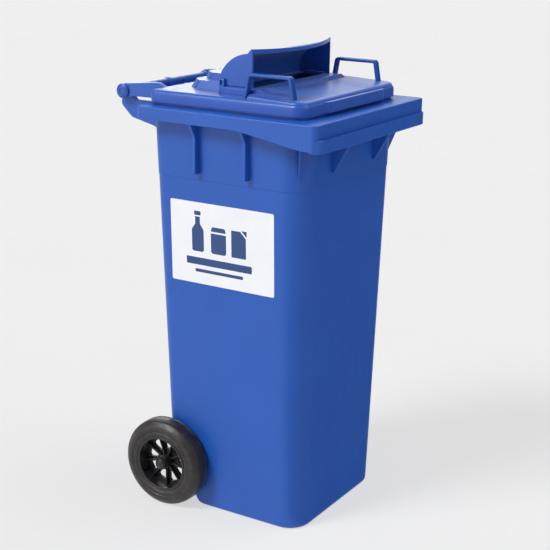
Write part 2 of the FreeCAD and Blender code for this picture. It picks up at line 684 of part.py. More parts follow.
def wheel_hub():
    """The left hub: barrel, web with openings, radial ribs and a bored boss."""
    barrel = turned([
        (BARREL_R, -TYRE_OUT + 1.5, 1), (SEAT_R, -TYRE_OUT + 1.5, 1), (SEAT_R, -TYRE_IN - 1, 1),
        (BARREL_R, -TYRE_IN - 1, 1),
    ], AXLE_Y, AXLE_Z)
    web = rod(BARREL_R + 1, -WEB_OUT, -WEB_IN, AXLE_Y, AXLE_Z)
    boss = rod(BOSS_R, -BOSS_OUT, -BOSS_IN, AXLE_Y, AXLE_Z)
    ribs = []
    openings = []
    for i in range(SPOKES):
        turn = 360.0 * i / SPOKES
        hole = teardrop()
        hole.rotate(Vector(0, AXLE_Y, AXLE_Z), X_AXIS, turn)
        openings.append(hole)
        rib = box(-WEB_OUT - RIB_HIGH, -WEB_IN, AXLE_Y - RIB_HALF, AXLE_Y + RIB_HALF,
                  AXLE_Z + BOSS_R - 2, AXLE_Z + BARREL_R + 1)
        rib.rotate(Vector(0, AXLE_Y, AXLE_Z), X_AXIS, turn + 180.0 / SPOKES)
        ribs.append(rib)
    solid = barrel.fuse([web.cut(openings), boss] + ribs)
    bore = rod(AXLE_R + RUNNING_GAP / 2, -TYRE_OUT, -BOSS_IN + 10, AXLE_Y, AXLE_Z)
    return solid.cut(bore).removeSplitter()


def tyre():
    """The left tyre: round shoulders and a groove beside its inner edge."""
    groove = TYRE_GROOVE
    return turned([
        (SEAT_R, -TYRE_OUT + 2.5, 1.2), (SEAT_R + 5, -TYRE_OUT, 2.5), (86.0, -TYRE_OUT, 16),
        (WHEEL_R - 2, -TYRE_OUT + 9, 12), (WHEEL_R, -TYRE_OUT + 20, 30), (WHEEL_R, -groove - 1.6, 0.8),
        (WHEEL_R - 2.5, -groove, 0.6), (WHEEL_R, -groove + 1.6, 0.8), (WHEEL_R, -TYRE_IN - 2, 2),
        (WHEEL_R - 12, -TYRE_IN, 6), (SEAT_R + 4, -TYRE_IN, 2), (SEAT_R, -TYRE_IN - 2, 0),
    ], AXLE_Y, AXLE_Z)


def hub_cap():
    """The left cap pushed on the hub's boss over the end of the axle."""
    return turned([
        (0, -CAP_OUT, 0), (CAP_R - 2, -CAP_OUT, 4), (CAP_R + 1, -CAP_OUT + 4, 2),
        (BOSS_R, -BOSS_OUT, 0), (BOSS_R - 1.8, -BOSS_OUT, 0), (BOSS_R - 2.2, -CAP_OUT + 5, 0),
        (0, -CAP_OUT + 4, 0),
    ], AXLE_Y, AXLE_Z)


def side_label():
    """The plate-thin label, lying on the left wall's taper."""
    slope = (TOP_HALF_W - BASE_HALF_W) / TAPER_Z
    low_x = -BASE_HALF_W - slope * LABEL_BOTTOM_Z
    high_x = -BASE_HALF_W - slope * LABEL_TOP_Z
    wire = rounded([
        (Vector(low_x, LABEL_FRONT, LABEL_BOTTOM_Z), LABEL_R),
        (Vector(high_x, LABEL_FRONT, LABEL_TOP_Z), LABEL_R),
        (Vector(high_x, LABEL_BACK, LABEL_TOP_Z), LABEL_R),
        (Vector(low_x, LABEL_BACK, LABEL_BOTTOM_Z), LABEL_R),
    ])
    outward = Vector(-1, 0, slope * -1).normalize()
    return Part.Face(wire).extrude(outward * LABEL)


os.makedirs("parts", exist_ok=True)
save("bin_body", bin_body())
save("rear_handle_bar", rear_handle_bar())
save("lid", lid())
save("throw_in_hood", throw_in_hood())
save("axle", axle())
save("side_label", side_label())
save("hood_screws", screw_group(hood_screw_places()))
save("handle_screws", screw_group(handle_screw_places()))
for side, sign in SIDES:
    save("hinge_pin_" + side, sided(hinge_pin(), sign))
    save("lid_handle_" + side, sided(bow_handle(), sign))
    save("hood_clip_" + side, sided(hood_clip(), sign))
    save("wheel_hub_" + side, sided(wheel_hub(), sign))
    save("tyre_" + side, sided(tyre(), sign))
    save("hub_cap_" + side, sided(hub_cap(), sign))
    save("retaining_ring_" + side, sided(retaining_ring(), sign))
    save("axle_spacer_" + side, sided(axle_spacer(), sign))
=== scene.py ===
"""The look of a 120 litre two-wheeled bin with a throw-in hood on its lid.

Shapes are drawn in millimetres in the frame of the CAD model: X across the bin, Y from the comb
edge at the front to the handle bar at the back, Z up. put() turns them into metres.
"""

from math import acos, asin, atan2, cos, pi, radians, sin, sqrt, tan

import bmesh
import bpy
from mathutils import Matrix, Vector


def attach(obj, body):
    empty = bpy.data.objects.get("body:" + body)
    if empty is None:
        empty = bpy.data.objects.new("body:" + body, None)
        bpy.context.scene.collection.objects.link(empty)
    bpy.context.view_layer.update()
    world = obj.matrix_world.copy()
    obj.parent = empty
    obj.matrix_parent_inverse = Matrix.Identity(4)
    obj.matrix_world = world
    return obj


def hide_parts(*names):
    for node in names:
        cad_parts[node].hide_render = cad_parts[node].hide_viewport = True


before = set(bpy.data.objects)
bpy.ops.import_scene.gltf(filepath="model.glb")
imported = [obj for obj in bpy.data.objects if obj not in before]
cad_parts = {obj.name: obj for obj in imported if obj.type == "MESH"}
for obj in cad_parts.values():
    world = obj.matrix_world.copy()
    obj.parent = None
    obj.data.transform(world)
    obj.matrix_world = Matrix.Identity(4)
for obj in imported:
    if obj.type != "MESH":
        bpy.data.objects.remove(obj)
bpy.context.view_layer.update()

MM = 0.001

# ---- dimensions, as in the CAD where it has them
RIM_HALF_W, RIM_FRONT, RIM_BACK, RIM_Z = 240.0, -215.0, 219.0, 900.0
RIM_FRONT_R, RIM_BACK_R, RIM_LEAST_R, RIM_EDGE_R = 13.0, 16.0, 6.0, 2.6
UNDER_RIM_Z, UNDER_RIM_R = 896.0, 4.0
WALL = 4.0
WALL_LEVELS = (200.0, 300.0, 400.0, 500.0, 600.0, 700.0)
TAPER_Z = 850.0
BASE_HALF_W, TOP_HALF_W = 176.0, 209.0
BASE_FRONT, TOP_FRONT = -158.0, -169.0
BASE_BACK, TOP_BACK = 177.0, 200.0
BASE_FRONT_R, TOP_FRONT_R = 50.0, 56.0
BASE_BACK_R, TOP_BACK_R = 26.0, 30.0
BASE_EDGE_R, FLOOR_R = 8.0, 8.0
BAND_Z, BAND_STEP, BAND_SOFT = 754.0, 0.9, 0.5
STEP_FRONT, STEP_Z, STEP_R, STEP_INNER_R, FOOT_BACK_R = 115.0, 128.0, 25.0, 10.0, 11.0
STEP_EDGE, STEP_GAP = ((2.6, 0.4), (0.8, 1.2)), 0.6
SKIRT, SKIRT_Z, SKIRT_FRONT_Z, SKIRT_EDGE_R = 4.0, 873.0, 847.0, 1.4
SLOPE_BACK, SLOPE_FRONT, SLOPE_BEND = -32.0, -178.0, 0.09
COMB_FRONT, COMB_HALF_W, COMB_R, COMB_RIB = -223.0, 238.0, 20.0, 0.5
COMB_TOP_Z, COMB_BOTTOM_Z = 871.0, 844.0
BEAD, BEAD_INSET, BEAD_Z, BEAD_EDGE_R = 4.0, 6.0, 918.0, 1.7
FIN, FIN_TOP_Z, FIN_ROOT = 7.0, 898.0, 2.4
SIDE_FIN_Y, SIDE_FIN_OUT, SIDE_FIN_Z = (82.0, -40.0), 223.0, 768.0
FRONT_FIN_X, FRONT_FIN_Z, FRONT_FIN_TIP, FRONT_FIN_REACH = 90.0, 781.0, 6.0, 45.0
CORNER_FIN, CORNER_FIN_X, CORNER_FIN_Y, CORNER_FIN_ANGLE = 5.0, 190.0, -150.0, 32.0
CORNER_FIN_Z, CORNER_FIN_REACH = 770.0, 37.0
FLARE_Z = 850.0

HINGE_Y, HINGE_Z = 308.0, 914.0
BAR_R, PIN_R = 11.0, 7.0
BRACKET_IN, BRACKET_OUT, BRACKET_MIDDLE, BRACKET_EYE_R = 138.0, 150.0, 6.0, 13.0
BRACKET_TOP_Z, BRACKET_FOOT_Z = 895.0, 809.0
BRACKET_CURVE = ((325.0, 884.0, 14.0), (296.0, 857.0, 22.0), (234.0, 843.0, 26.0))
ARM_IN, ARM_OUT, ARM_EYE_R = 151.0, 163.0, 16.0
ARM_FRONT, ARM_RISE, ARM_BEND_Y = 194.0, (215.0, 939.0), 284.0
PIN_HEAD_OUT, PIN_DEPTH = 169.5, 40.0

LID_HALF_W, LID_FRONT, LID_BACK = 206.0, -168.0, 208.0
LID_FRONT_R, LID_BACK_R = 32.0, 14.0
LID_BOTTOM_Z, LID_TOP_Z, LID_WALL, LID_EDGE_R = 905.0, 931.0, 3.5, 10.0
PANEL_BACK_Z, PANEL_FRONT_Z, PANEL_BACK = 939.5, 934.5, -33.0
PAD_HALF_W, PAD_FOOT, PAD_FRONT, PAD_BACK, PAD_Z = 172.0, -53.0, -43.0, 50.0, 946.0
SEAT_HALF_W, SEAT_BACK = 160.0, 64.0
PLATEAU_FRONT, PLATEAU_LEAN, PLATEAU_CUT = 62.5, 9.0, 24.0
PLATEAUS = ((128.0, 158.0, 948.0), (100.0, 146.0, 962.0))
LIP_HALF_W, LIP_SLANT, LIP_FRONT, LIP_BOTTOM_Z, LIP_TOP_Z = 116.0, 12.0, -176.0, 907.0, 929.0
MOUTH_HALF_W, MOUTH_FRONT, MOUTH_BACK = 146.0, -12.0, 44.0

HOOD_HALF_W, HOOD_FRONT, HOOD_BACK, HOOD_BULGE = 161.0, -18.0, 62.0, 28.0
HOOD_ARC_Y, HOOD_ARC_Z, HOOD_ARC_R, HOOD_WALL = -12.0, 936.0, 79.5, 3.5
HOOD_LIP_Z, HOOD_LIP_SAG, HOOD_LIP_THICK, HOOD_LIP_HIGH, HOOD_FLARE = 1025.0, 3.5, 4.5, 8.0, 12.0
HOOD_FORM_FRONT = -72.0
HOOD_FLANGE, HOOD_FLANGE_THICK, HOOD_FLANGE_Y = 10.0, 3.0, (-8.0, 40.0)
CLIP_THICK, CLIP_FRONT, CLIP_BACK, CLIP_Z = 7.0, 45.0, 58.0, 962.0

BOW_X, BOW_WIDTH, BOW_STRAP = 181.0, 16.0, 7.0
BOW_BACK, BOW_FRONT, BOW_FOOT_BACK, BOW_FOOT_FRONT = -23.0, -125.0, -15.0, -133.0
BOW_Z, BOW_R, BOW_EDGE_R = 981.0, 9.0, 2.4

AXLE_Y, AXLE_Z, AXLE_R = 170.0, 100.0, 10.0
SADDLE_X, SADDLE, SADDLE_FRONT, SADDLE_LOW_Z = (60.0, 140.0), 8.0, 120.0, 84.0
WHEEL_R, TYRE_IN, TYRE_OUT, TYRE_GROOVE = 100.0, 187.0, 229.0, 193.0
SHOULDER_R, SIDE_RING_R, SEAT_R, BARREL_R = 86.0, 75.0, 64.0, 58.0
BOSS_R, BOSS_IN, BOSS_OUT, WEB_IN, WEB_OUT = 15.0, 180.0, 221.0, 192.0, 198.0
SPOKES, RIB_HALF_W = 9, 1.8
OPENING_LOW, OPENING_HIGH = (28.0, 4.6, 2.5), (50.0, 11.8, 5.0)
CAP_R, CAP_OUT, SLEEVE_R = 12.0, 232.0, 13.0

LABEL_FRONT, LABEL_BACK, LABEL_BOTTOM_Z, LABEL_TOP_Z = -101.0, 155.0, 528.0, 706.0
LABEL, LABEL_R = 0.4, 4.0

ARC_STEPS, ACROSS_STEPS, ALONG_STEPS = 10, 8, 22
TURN_STEPS = 96
SOFT = 1.2
NEAR_AXIS = 0.01

# ---- studio values, in metres and degrees
CAMERA_PLACE, CAMERA_LENS, SENSOR = (-2.3307, -1.3954, 1.3030), 83.28, 36.0
CAMERA_AZIMUTH, CAMERA_ELEVATION, CAMERA_ROLL = -58.78, 16.21, 1.01
WORLD, FLOOR_GLOW, BACKDROP_GLOW = 0.35, 0.59, 0.86
LID_MIDDLE = (0, 0, 0.94)
SUNS = (  # name, azimuth, elevation, strength, width of the disc
    ("key", -118.0, 46.0, 2.3, 22.0),
    ("top", 40.0, 64.0, 0.75, 25.0),
    ("front_fill", 5.0, 22.0, 0.40, 40.0),
)
CARDS = (  # name, place, width, height, glow
    ("card_rear", (3.75, 3.35, 1.65), 1.6, 0.8, 4.5),
    ("card_wide", (5.14, 3.09, 1.80), 4.5, 1.4, 0.6),
    ("card_high", (2.60, 1.90, 2.70), 2.6, 1.5, 2.2),
    ("card_left", (-5.10, 3.15, 1.90), 5.0, 3.4, 1.5),
)
QUAD = [(0, 1, 2, 3)]
FLAGS = (  # dark cloths that are seen only in reflections: name, corners
    ("flag_floor", [(-2.0, -9.0, 0.004), (9.0, -9.0, 0.004), (9.0, -0.16, 0.004), (-2.0, -0.16, 0.004)]),
    ("flag_upright", [(1.5, -5.0, 0.0), (8.0, -1.6, 0.0), (8.0, -1.6, 3.2), (1.5, -5.0, 3.2)]),
)


# ---- meshes
def put(name, points, faces):
    """A new object from points in millimetres, with its normals outwards."""
    mesh = bpy.data.meshes.new(name)
    mesh.from_pydata([Vector(p) * MM for p in points], [], faces)
    form = bmesh.new()
    form.from_mesh(mesh)
    bmesh.ops.remove_doubles(form, verts=form.verts, dist=1e-6)
    bmesh.ops.dissolve_degenerate(form, edges=form.edges, dist=1e-7)
    bmesh.ops.recalc_face_normals(form, faces=form.faces)
    form.to_mesh(mesh)
    form.free()
    obj = bpy.data.objects.new(name, mesh)
    bpy.context.scene.collection.objects.link(obj)
    return obj


def bake(obj):
    """Apply an object's modifiers to its mesh."""
    graph = bpy.context.evaluated_depsgraph_get()
    mesh = bpy.data.meshes.new_from_object(obj.evaluated_get(graph))
    old = obj.data
    obj.modifiers.clear()
    obj.data = mesh
    bpy.data.meshes.remove(old)
    mesh.name = obj.name
    return obj


def drop(obj):
    """Take away an object that was only a tool."""
    mesh = obj.data
    bpy.data.objects.remove(obj)
    bpy.data.meshes.remove(mesh)


def combine(obj, tools, operation):
    """Unite obj with closed tool meshes, or cut them from it."""
    for tool in tools:
        step = obj.modifiers.new("combine", "BOOLEAN")
        step.operation = operation
        step.solver = "EXACT"
        step.object = tool
        bake(obj)
        drop(tool)
    return obj


def soften(obj, width=SOFT, segments=3, angle=40):
    """Round the sharp edges by width millimetres."""
    step = obj.modifiers.new("soften", "BEVEL")
    step.width = width * MM
    step.segments = segments
    step.limit_method = "ANGLE"
    step.angle_limit = radians(angle)
    step.use_clamp_overlap = True
    return bake(obj)


def shade(obj, angle=38):
    """Smooth shading that keeps flat faces flat and sharp corners sharp."""
    obj.data.shade_smooth()
    obj.data.set_sharp_from_angle(angle=radians(angle))
    step = obj.modifiers.new("normals", "WEIGHTED_NORMAL")
    step.keep_sharp = True
    step.weight = 60
    return bake(obj)


def mirrored(obj, name):
    """A copy of a left piece for the right side."""
    twin = obj.copy()
    twin.data = obj.data.copy()
    twin.name = name
    twin.data.name = name
    bpy.context.scene.collection.objects.link(twin)
    twin.data.transform(Matrix.Scale(-1, 4, (1, 0, 0)))
    twin.data.flip_normals()
    return twin


def outline(corners, steps=7):
    """Points round a closed outline of (a, b, radius) corners, with an arc at each round one."""
    points = []
    count = len(corners)
    for i, (a, b, radius) in enumerate(corners):
        here = Vector((a, b))
        if radius <= 0:
            points.append(here)
            continue
        before = (Vector(corners[i - 1][:2]) - here).normalized()
        after = (Vector(corners[(i + 1) % count][:2]) - here).normalized()
        half = acos(max(-1.0, min(1.0, before.dot(after)))) / 2
        centre = here + (before + after).normalized() * (radius / sin(half))
        start = here + before * (radius / tan(half)) - centre
        stop = here + after * (radius / tan(half)) - centre
        turn = atan2(start.x * stop.y - start.y * stop.x, start.dot(stop))
        for k in range(steps + 1):
            angle = turn * k / steps
            points.append(centre + Vector((start.x * cos(angle) - start.y * sin(angle),
                                           start.x * sin(angle) + start.y * cos(angle))))
    return points


def oblong(a0, a1, b0, b1, radius=0):
    """Corners of a rectangle for outline()."""
    return [(a0, b0, radius), (a1, b0, radius), (a1, b1, radius), (a0, b1, radius)]


def loft(name, rings, closed=False):
    """A skin through rings of equally many points, with flat ends unless the last joins the first."""
    size = len(rings[0])
    points = [p for r in rings for p in r]
    faces = []
    spans = len(rings) if closed else len(rings) - 1
    for j in range(spans):
        low = j * size
        high = ((j + 1) % len(rings)) * size
        for i in range(size):
            n = (i + 1) % size
            faces.append((low + i, low + n, high + n, high + i))
    if not closed:
        faces.append(tuple(range(size)))
        faces.append(tuple(range((len(rings) - 1) * size, len(rings) * size)))
    return put(name, points, faces)


def across(name, corners, x0, x1, steps=7):
    """A plate from a (y, z, radius) outline between two places along X."""
    flat = outline(corners, steps)
    return loft(name, [[(x, p.x, p.y) for p in flat] for x in (x0, x1)])


def along(name, corners, y0, y1, steps=7):
    """A plate from an (x, z, radius) outline between two places along Y."""
    flat = outline(corners, steps)
    return loft(name, [[(p.x, y, p.y) for p in flat] for y in (y0, y1)])


def upright(name, corners, z0, z1, steps=7):
    """A plate from an (x, y, radius) outline between two heights."""
    flat = outline(corners, steps)
    return loft(name, [[(p.x, p.y, z) for p in flat] for z in (z0, z1)])


def block(name, x0, x1, y0, y1, z0, z1):
    """A plain box, used only as a cutting tool."""
    return upright(name, oblong(x0, x1, y0, y1), z0, z1)


def turned(name, corners, y, z, steps=TURN_STEPS, round_steps=5):
    """A ring about the X axis through (y, z) from (x, radius, rounding) corners."""
    flat = outline(corners, round_steps)
    rings = []
    for k in range(steps):
        angle = 2 * pi * k / steps
        rings.append([(p.x, y + p.y * sin(angle), z + p.y * cos(angle)) for p in flat])
    return loft(name, rings, closed=True)


def disc(name, x0, x1, radius, edge):
    """A solid disc on the hinge line."""
    corners = [(x0, NEAR_AXIS, 0), (x0, radius, edge), (x1, radius, edge), (x1, NEAR_AXIS, 0)]
    return turned(name, corners, HINGE_Y, HINGE_Z, 48)


# ---- materials
def node(tree, kind, **values):
    """A shader node with some of its inputs or properties set."""
    made = tree.nodes.new(kind)
    for key, value in values.items():
        if key in made.inputs:
            made.inputs[key].default_value = value
        else:
            setattr(made, key, value)
    return made


def noise(tree, place, scale, detail=4.0, rough=0.55):
    """A noise texture on the object's own coordinates."""
    made = node(tree, "ShaderNodeTexNoise", Scale=scale, Detail=detail, Roughness=rough)
    tree.links.new(place, made.inputs["Vector"])
    return made.outputs["Fac"]


def spread(tree, value, low, high, from_low=0.3, from_high=0.7):
    """Stretch a value from one range to another."""
    made = node(tree, "ShaderNodeMapRange", **{
        "From Min": from_low, "From Max": from_high, "To Min": low, "To Max": high})
    tree.links.new(value, made.inputs["Value"])
    return made.outputs["Result"]


def mix(tree, factor, first, second):
    """Mix two colours, either of which may be a socket."""
    made = tree.nodes.new("ShaderNodeMix")
    made.data_type = "RGBA"
    tree.links.new(factor, made.inputs["Factor"])
    for socket, value in ((made.inputs[6], first), (made.inputs[7], second)):
        if isinstance(value, tuple):
            socket.default_value = (*value, 1.0)
        else:
            tree.links.new(value, socket)
    return made.outputs[2]


def product(tree, first, second):
    """Multiply two values, the second of which may be a number."""
    made = node(tree, "ShaderNodeMath", operation="MULTIPLY")
    tree.links.new(first, made.inputs[0])
    if isinstance(second, float):
        made.inputs[1].default_value = second
    else:
        tree.links.new(second, made.inputs[1])
    return made.outputs["Value"]


def surface(tree, shader, colour, rough, layers):
    """Link colour and roughness, and bump layers of (height, depth in millimetres)."""
    tree.links.new(colour, shader.inputs["Base Color"])
    tree.links.new(rough, shader.inputs["Roughness"])
    normal = None
    for height, depth in layers:
        made = node(tree, "ShaderNodeBump", Strength=1.0, Distance=depth * MM)
        tree.links.new(height, made.inputs["Height"])
        if normal is not None:
            tree.links.new(normal, made.inputs["Normal"])
        normal = made.outputs["Normal"]
    tree.links.new(normal, shader.inputs["Normal"])


def new_material(name):
    """A material with a principled shader; returns it, its tree, its shader and its coordinates."""
    made = bpy.data.materials.new(name)
    made.use_nodes = True
    tree = made.node_tree
    shader = tree.nodes["Principled BSDF"]
    place = tree.nodes.new("ShaderNodeTexCoord").outputs["Object"]
    return made, tree, shader, place


def stretched(tree, place, x, y, z):
    """Coordinates scaled apart along the axes, for streaks."""
    made = node(tree, "ShaderNodeMapping", Scale=(x, y, z))
    tree.links.new(place, made.inputs["Vector"])
    return made.outputs["Vector"]


def moulded(name, base, worn, low_rough, high_rough, wave=0.5, sheen=0.0):
    """Moulded plastic: cloudy colour, fine grain, flow streaks and scuffs."""
    made, tree, shader, place = new_material(name)
    shader.inputs["Sheen Weight"].default_value = sheen
    shader.inputs["Sheen Roughness"].default_value = 0.45
    cloud = spread(tree, noise(tree, place, 5.0, 3.0), 0.0, 1.0)
    deep = tuple(c * 0.95 for c in base)
    bright = tuple(c * 1.05 for c in base)
    colour = mix(tree, cloud, deep, bright)
    streak_place = stretched(tree, place, 260.0, 260.0, 9.0)
    scuff = spread(tree, noise(tree, streak_place, 1.0, 5.0, 0.6), 0.0, 1.0, 0.66, 0.82)
    patch = spread(tree, noise(tree, place, 7.0, 2.0), 0.0, 1.0, 0.55, 0.75)
    wear = product(tree, scuff, patch)
    colour = mix(tree, product(tree, wear, 0.35), colour, worn)
    rough = spread(tree, noise(tree, place, 38.0, 4.0), low_rough, high_rough)
    surface(tree, shader, colour, rough, [
        (noise(tree, place, 2.2, 2.0, 0.4), wave),
        (noise(tree, place, 900.0, 2.0, 0.5), 0.035),
        (wear, 0.04),
    ])
    return made


def rubber(name):
    """Tyre rubber: dusty charcoal with fine pits."""
    made, tree, shader, place = new_material(name)
    shader.inputs["Specular IOR Level"].default_value = 0.5
    dust = spread(tree, noise(tree, place, 55.0, 6.0, 0.65), 0.0, 1.0, 0.42, 0.78)
    colour = mix(tree, dust, (0.017, 0.0135, 0.0145), (0.048, 0.040, 0.042))
    rough = spread(tree, noise(tree, place, 90.0), 0.36, 0.52)
    surface(tree, shader, colour, rough, [
        (noise(tree, place, 60.0, 3.0), 0.12),
        (noise(tree, place, 700.0, 3.0), 0.06),
    ])
    return made


def metal(name, low, high):
    """Steel with turning marks, between two greys."""
    made, tree, shader, place = new_material(name)
    shader.inputs["Metallic"].default_value = 1.0
    cloud = spread(tree, noise(tree, place, 40.0), 0.0, 1.0)
    colour = mix(tree, cloud, (low,) * 3, (high,) * 3)
    rough = spread(tree, noise(tree, place, 120.0), 0.42, 0.58)
    marks = noise(tree, stretched(tree, place, 1800.0, 40.0, 40.0), 1.0)
    surface(tree, shader, colour, rough, [(marks, 0.02)])
    return made


def film(name, base, shadow, low_rough, high_rough):
    """Printed label film: nearly even colour with a faint ripple."""
    made, tree, shader, place = new_material(name)
    cloud = spread(tree, noise(tree, place, 14.0, 5.0), 0.0, 1.0)
    rough = spread(tree, noise(tree, place, 60.0), low_rough, high_rough)
    surface(tree, shader, mix(tree, cloud, base, shadow), rough, [
        (noise(tree, place, 18.0, 2.0), 0.12),
        (noise(tree, place, 1200.0), 0.004),
    ])
    return made


BLUE = (0.010, 0.092, 0.46)
LOOKS = {
    "tub_plastic": moulded("tub_plastic", BLUE, (0.09, 0.20, 0.55), 0.36, 0.46),
    "lid_plastic": moulded("lid_plastic", BLUE, (0.09, 0.20, 0.55), 0.30, 0.38, 0.2, 0.2),
    "fitting_plastic": moulded("fitting_plastic", (0.009, 0.078, 0.38), (0.08, 0.17, 0.48), 0.26, 0.38),
    "wheel_plastic": moulded("wheel_plastic", (0.016, 0.0145, 0.015), (0.05, 0.05, 0.05), 0.30, 0.46),
    "tread_rubber": rubber("tread_rubber"),
    "steel": metal("steel", 0.25, 0.34),
    "dark_steel": metal("dark_steel", 0.03, 0.05),
    "label_film": film("label_film", (0.90, 0.91, 0.94), (0.86, 0.87, 0.91), 0.38, 0.50),
    "label_print": film("label_print", (0.012, 0.055, 0.20), (0.018, 0.065, 0.22), 0.45, 0.56),
}


def dress(obj, body, look, *nodes, slot=None):
    """Shade a finished piece, give it its material and body, and hide the CAD nodes it stands for."""
    shade(obj)
    obj.data.materials.clear()
    obj.data.materials.append(LOOKS[look])
    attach(obj, body)
    if nodes:
        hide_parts(*nodes)
    return obj


def dress_pair(obj, name, body, look, *nodes):
    """Dress a left piece and its mirror image; {side} in the names is filled in."""
    twin = mirrored(obj, name.format(side="right"))
    obj.name = name.format(side="left")
    for side, one in (("left", obj), ("right", twin)):
        dress(one, body.format(side=side), look, *[n.format(side=side) for n in nodes])


# ---- tub
def ring(dims, height):
    """A closed ring of points round a rectangle with rounded corners; height may depend on y."""
    half, front, back, front_r, back_r = dims
    corners = [
        (-half + front_r, front + front_r, front_r, 180),
        (half - front_r, front + front_r, front_r, 270),
        (half - back_r, back - back_r, back_r, 0),
        (-half + back_r, back - back_r, back_r, 90),
    ]
    points = []
    for i, (x, y, r, first) in enumerate(corners):
        for k in range(ARC_STEPS + 1):
            angle = radians(first + 90 * k / ARC_STEPS)
            points.append((x + r * cos(angle), y + r * sin(angle)))
        next_x, next_y, next_r, next_first = corners[(i + 1) % 4]
        start = Vector(points[-1])
        turn = radians(next_first)
        stop = Vector((next_x + next_r * cos(turn), next_y + next_r * sin(turn)))
        steps = ACROSS_STEPS if i % 2 == 0 else ALONG_STEPS
        for k in range(1, steps):
            points.append(tuple(start.lerp(stop, k / steps)))
    if callable(height):
        return [(x, y, height(y)) for x, y in points]
    return [(x, y, height) for x, y in points]


def tub_dims(z, inset):
    """The tub wall's outline at height z, moved in by inset."""
    t = z / TAPER_Z
    half = BASE_HALF_W + (TOP_HALF_W - BASE_HALF_W) * t
    front = BASE_FRONT + (TOP_FRONT - BASE_FRONT) * t
    back = BASE_BACK + (TOP_BACK - BASE_BACK) * t
    front_r = BASE_FRONT_R + (TOP_FRONT_R - BASE_FRONT_R) * t
    back_r = BASE_BACK_R + (TOP_BACK_R - BASE_BACK_R) * t
    return (half - inset, front + inset, back - inset, front_r - inset, back_r - inset)


def foot_dims(z, inset, back):
    """The outline below the step's roof, where the back of the tub stands further forward."""
    half, front, _, front_r, _ = tub_dims(z, inset)
    return (half, front, back, front_r, FOOT_BACK_R)


def foot_back(z, radius=STEP_R):
    """Where the foot's back is at height z, on its rounded lower edge."""
    return STEP_FRONT - STEP_R + sqrt(max(radius ** 2 - (STEP_R - z) ** 2, 0.0))


def back_moved(dims, shift):
    """An outline with its back wall moved in by shift."""
    half, front, back, front_r, back_r = dims
    return (half, front, back - shift, front_r, back_r - shift)


def rim_dims(inset):
    """The rim's outline, moved in by inset."""
    front_r = max(RIM_FRONT_R - inset, RIM_LEAST_R)
    return (RIM_HALF_W - inset, RIM_FRONT + inset, RIM_BACK - inset, front_r, RIM_BACK_R - inset)


def lid_dims(inset):
    """The lid's outline, moved in by inset."""
    half, front, back = LID_HALF_W - inset, LID_FRONT + inset, LID_BACK - inset
    return (half, front, back, LID_FRONT_R - inset, LID_BACK_R - inset)


def skirt_bottom(y):
    """Height of the skirt's lower edge, which slopes down to the front with soft bends."""
    t = (SLOPE_BACK - y) / (SLOPE_BACK - SLOPE_FRONT)
    ramp = 0.5 * (sqrt(t * t + SLOPE_BEND ** 2) - sqrt((t - 1) ** 2 + SLOPE_BEND ** 2) + 1)
    return SKIRT_Z + (SKIRT_FRONT_Z - SKIRT_Z) * ramp


def rounding(steps):
    """(sine, cosine) pairs over a quarter turn."""
    return [(sin(pi / 2 * k / steps), cos(pi / 2 * k / steps)) for k in range(steps + 1)]


def outer_rings():
    """Rings from the edge of the base up the outside, to just below the rim."""
    rings = []
    for s, c in rounding(6):
        z = BASE_EDGE_R * (1 - c)
        rings.append(ring(foot_dims(z, BASE_EDGE_R * (1 - s), foot_back(z) - (1 - s) * 2), z))
    for z in (16.0, 20.0, STEP_R):
        rings.append(ring(foot_dims(z, 0, foot_back(z)), z))
    for s, c in rounding(5):
        z = STEP_Z - STEP_INNER_R + (STEP_INNER_R - STEP_GAP) * s
        rings.append(ring(foot_dims(z, 0, STEP_FRONT + STEP_INNER_R * (1 - c)), z))
    for shift, rise in STEP_EDGE:
        rings.append(ring(back_moved(tub_dims(STEP_Z, 0), shift), STEP_Z + rise))
    for z in (STEP_Z + 3, *WALL_LEVELS, BAND_Z - BAND_SOFT):
        rings.append(ring(tub_dims(z, 0), z))
    for z in (BAND_Z + BAND_SOFT, 800.0, 850.0, UNDER_RIM_Z - UNDER_RIM_R):
        rings.append(ring(tub_dims(z, -BAND_STEP), z))
    for s, c in rounding(3)[1:]:
        inset = -BAND_STEP - UNDER_RIM_R * (1 - c)
        rings.append(ring(tub_dims(UNDER_RIM_Z, inset), UNDER_RIM_Z - UNDER_RIM_R * (1 - s)))
    return rings


def rim_rings():
    """Rings along the rim's underside, round the skirt, over the rim and up to the bead's top."""
    rings = []
    for inset, drop in ((2.5, 0.0), (0.7, 0.7), (0.0, 2.5)):
        rings.append(ring(rim_dims(SKIRT + inset), UNDER_RIM_Z - drop))
    edge = ((0.0, SKIRT_EDGE_R), (0.4, 0.4), (SKIRT_EDGE_R, 0.0))
    around = [(SKIRT - inset, rise) for inset, rise in edge]
    for inset, rise in around + list(reversed(edge)):
        rings.append(ring(rim_dims(inset), lambda y, rise=rise: skirt_bottom(y) + rise))
    for s, c in rounding(4):
        rings.append(ring(rim_dims(RIM_EDGE_R * (1 - c)), RIM_Z - RIM_EDGE_R * (1 - s)))
    for inset, rise in ((-2.4, 0.0), (-0.7, 0.7), (0.0, 2.4)):
        rings.append(ring(lid_dims(BEAD_INSET + inset), RIM_Z + rise))
    for s, c in rounding(3):
        rings.append(ring(lid_dims(BEAD_INSET + BEAD_EDGE_R * (1 - c)), BEAD_Z - BEAD_EDGE_R * (1 - s)))
    return rings


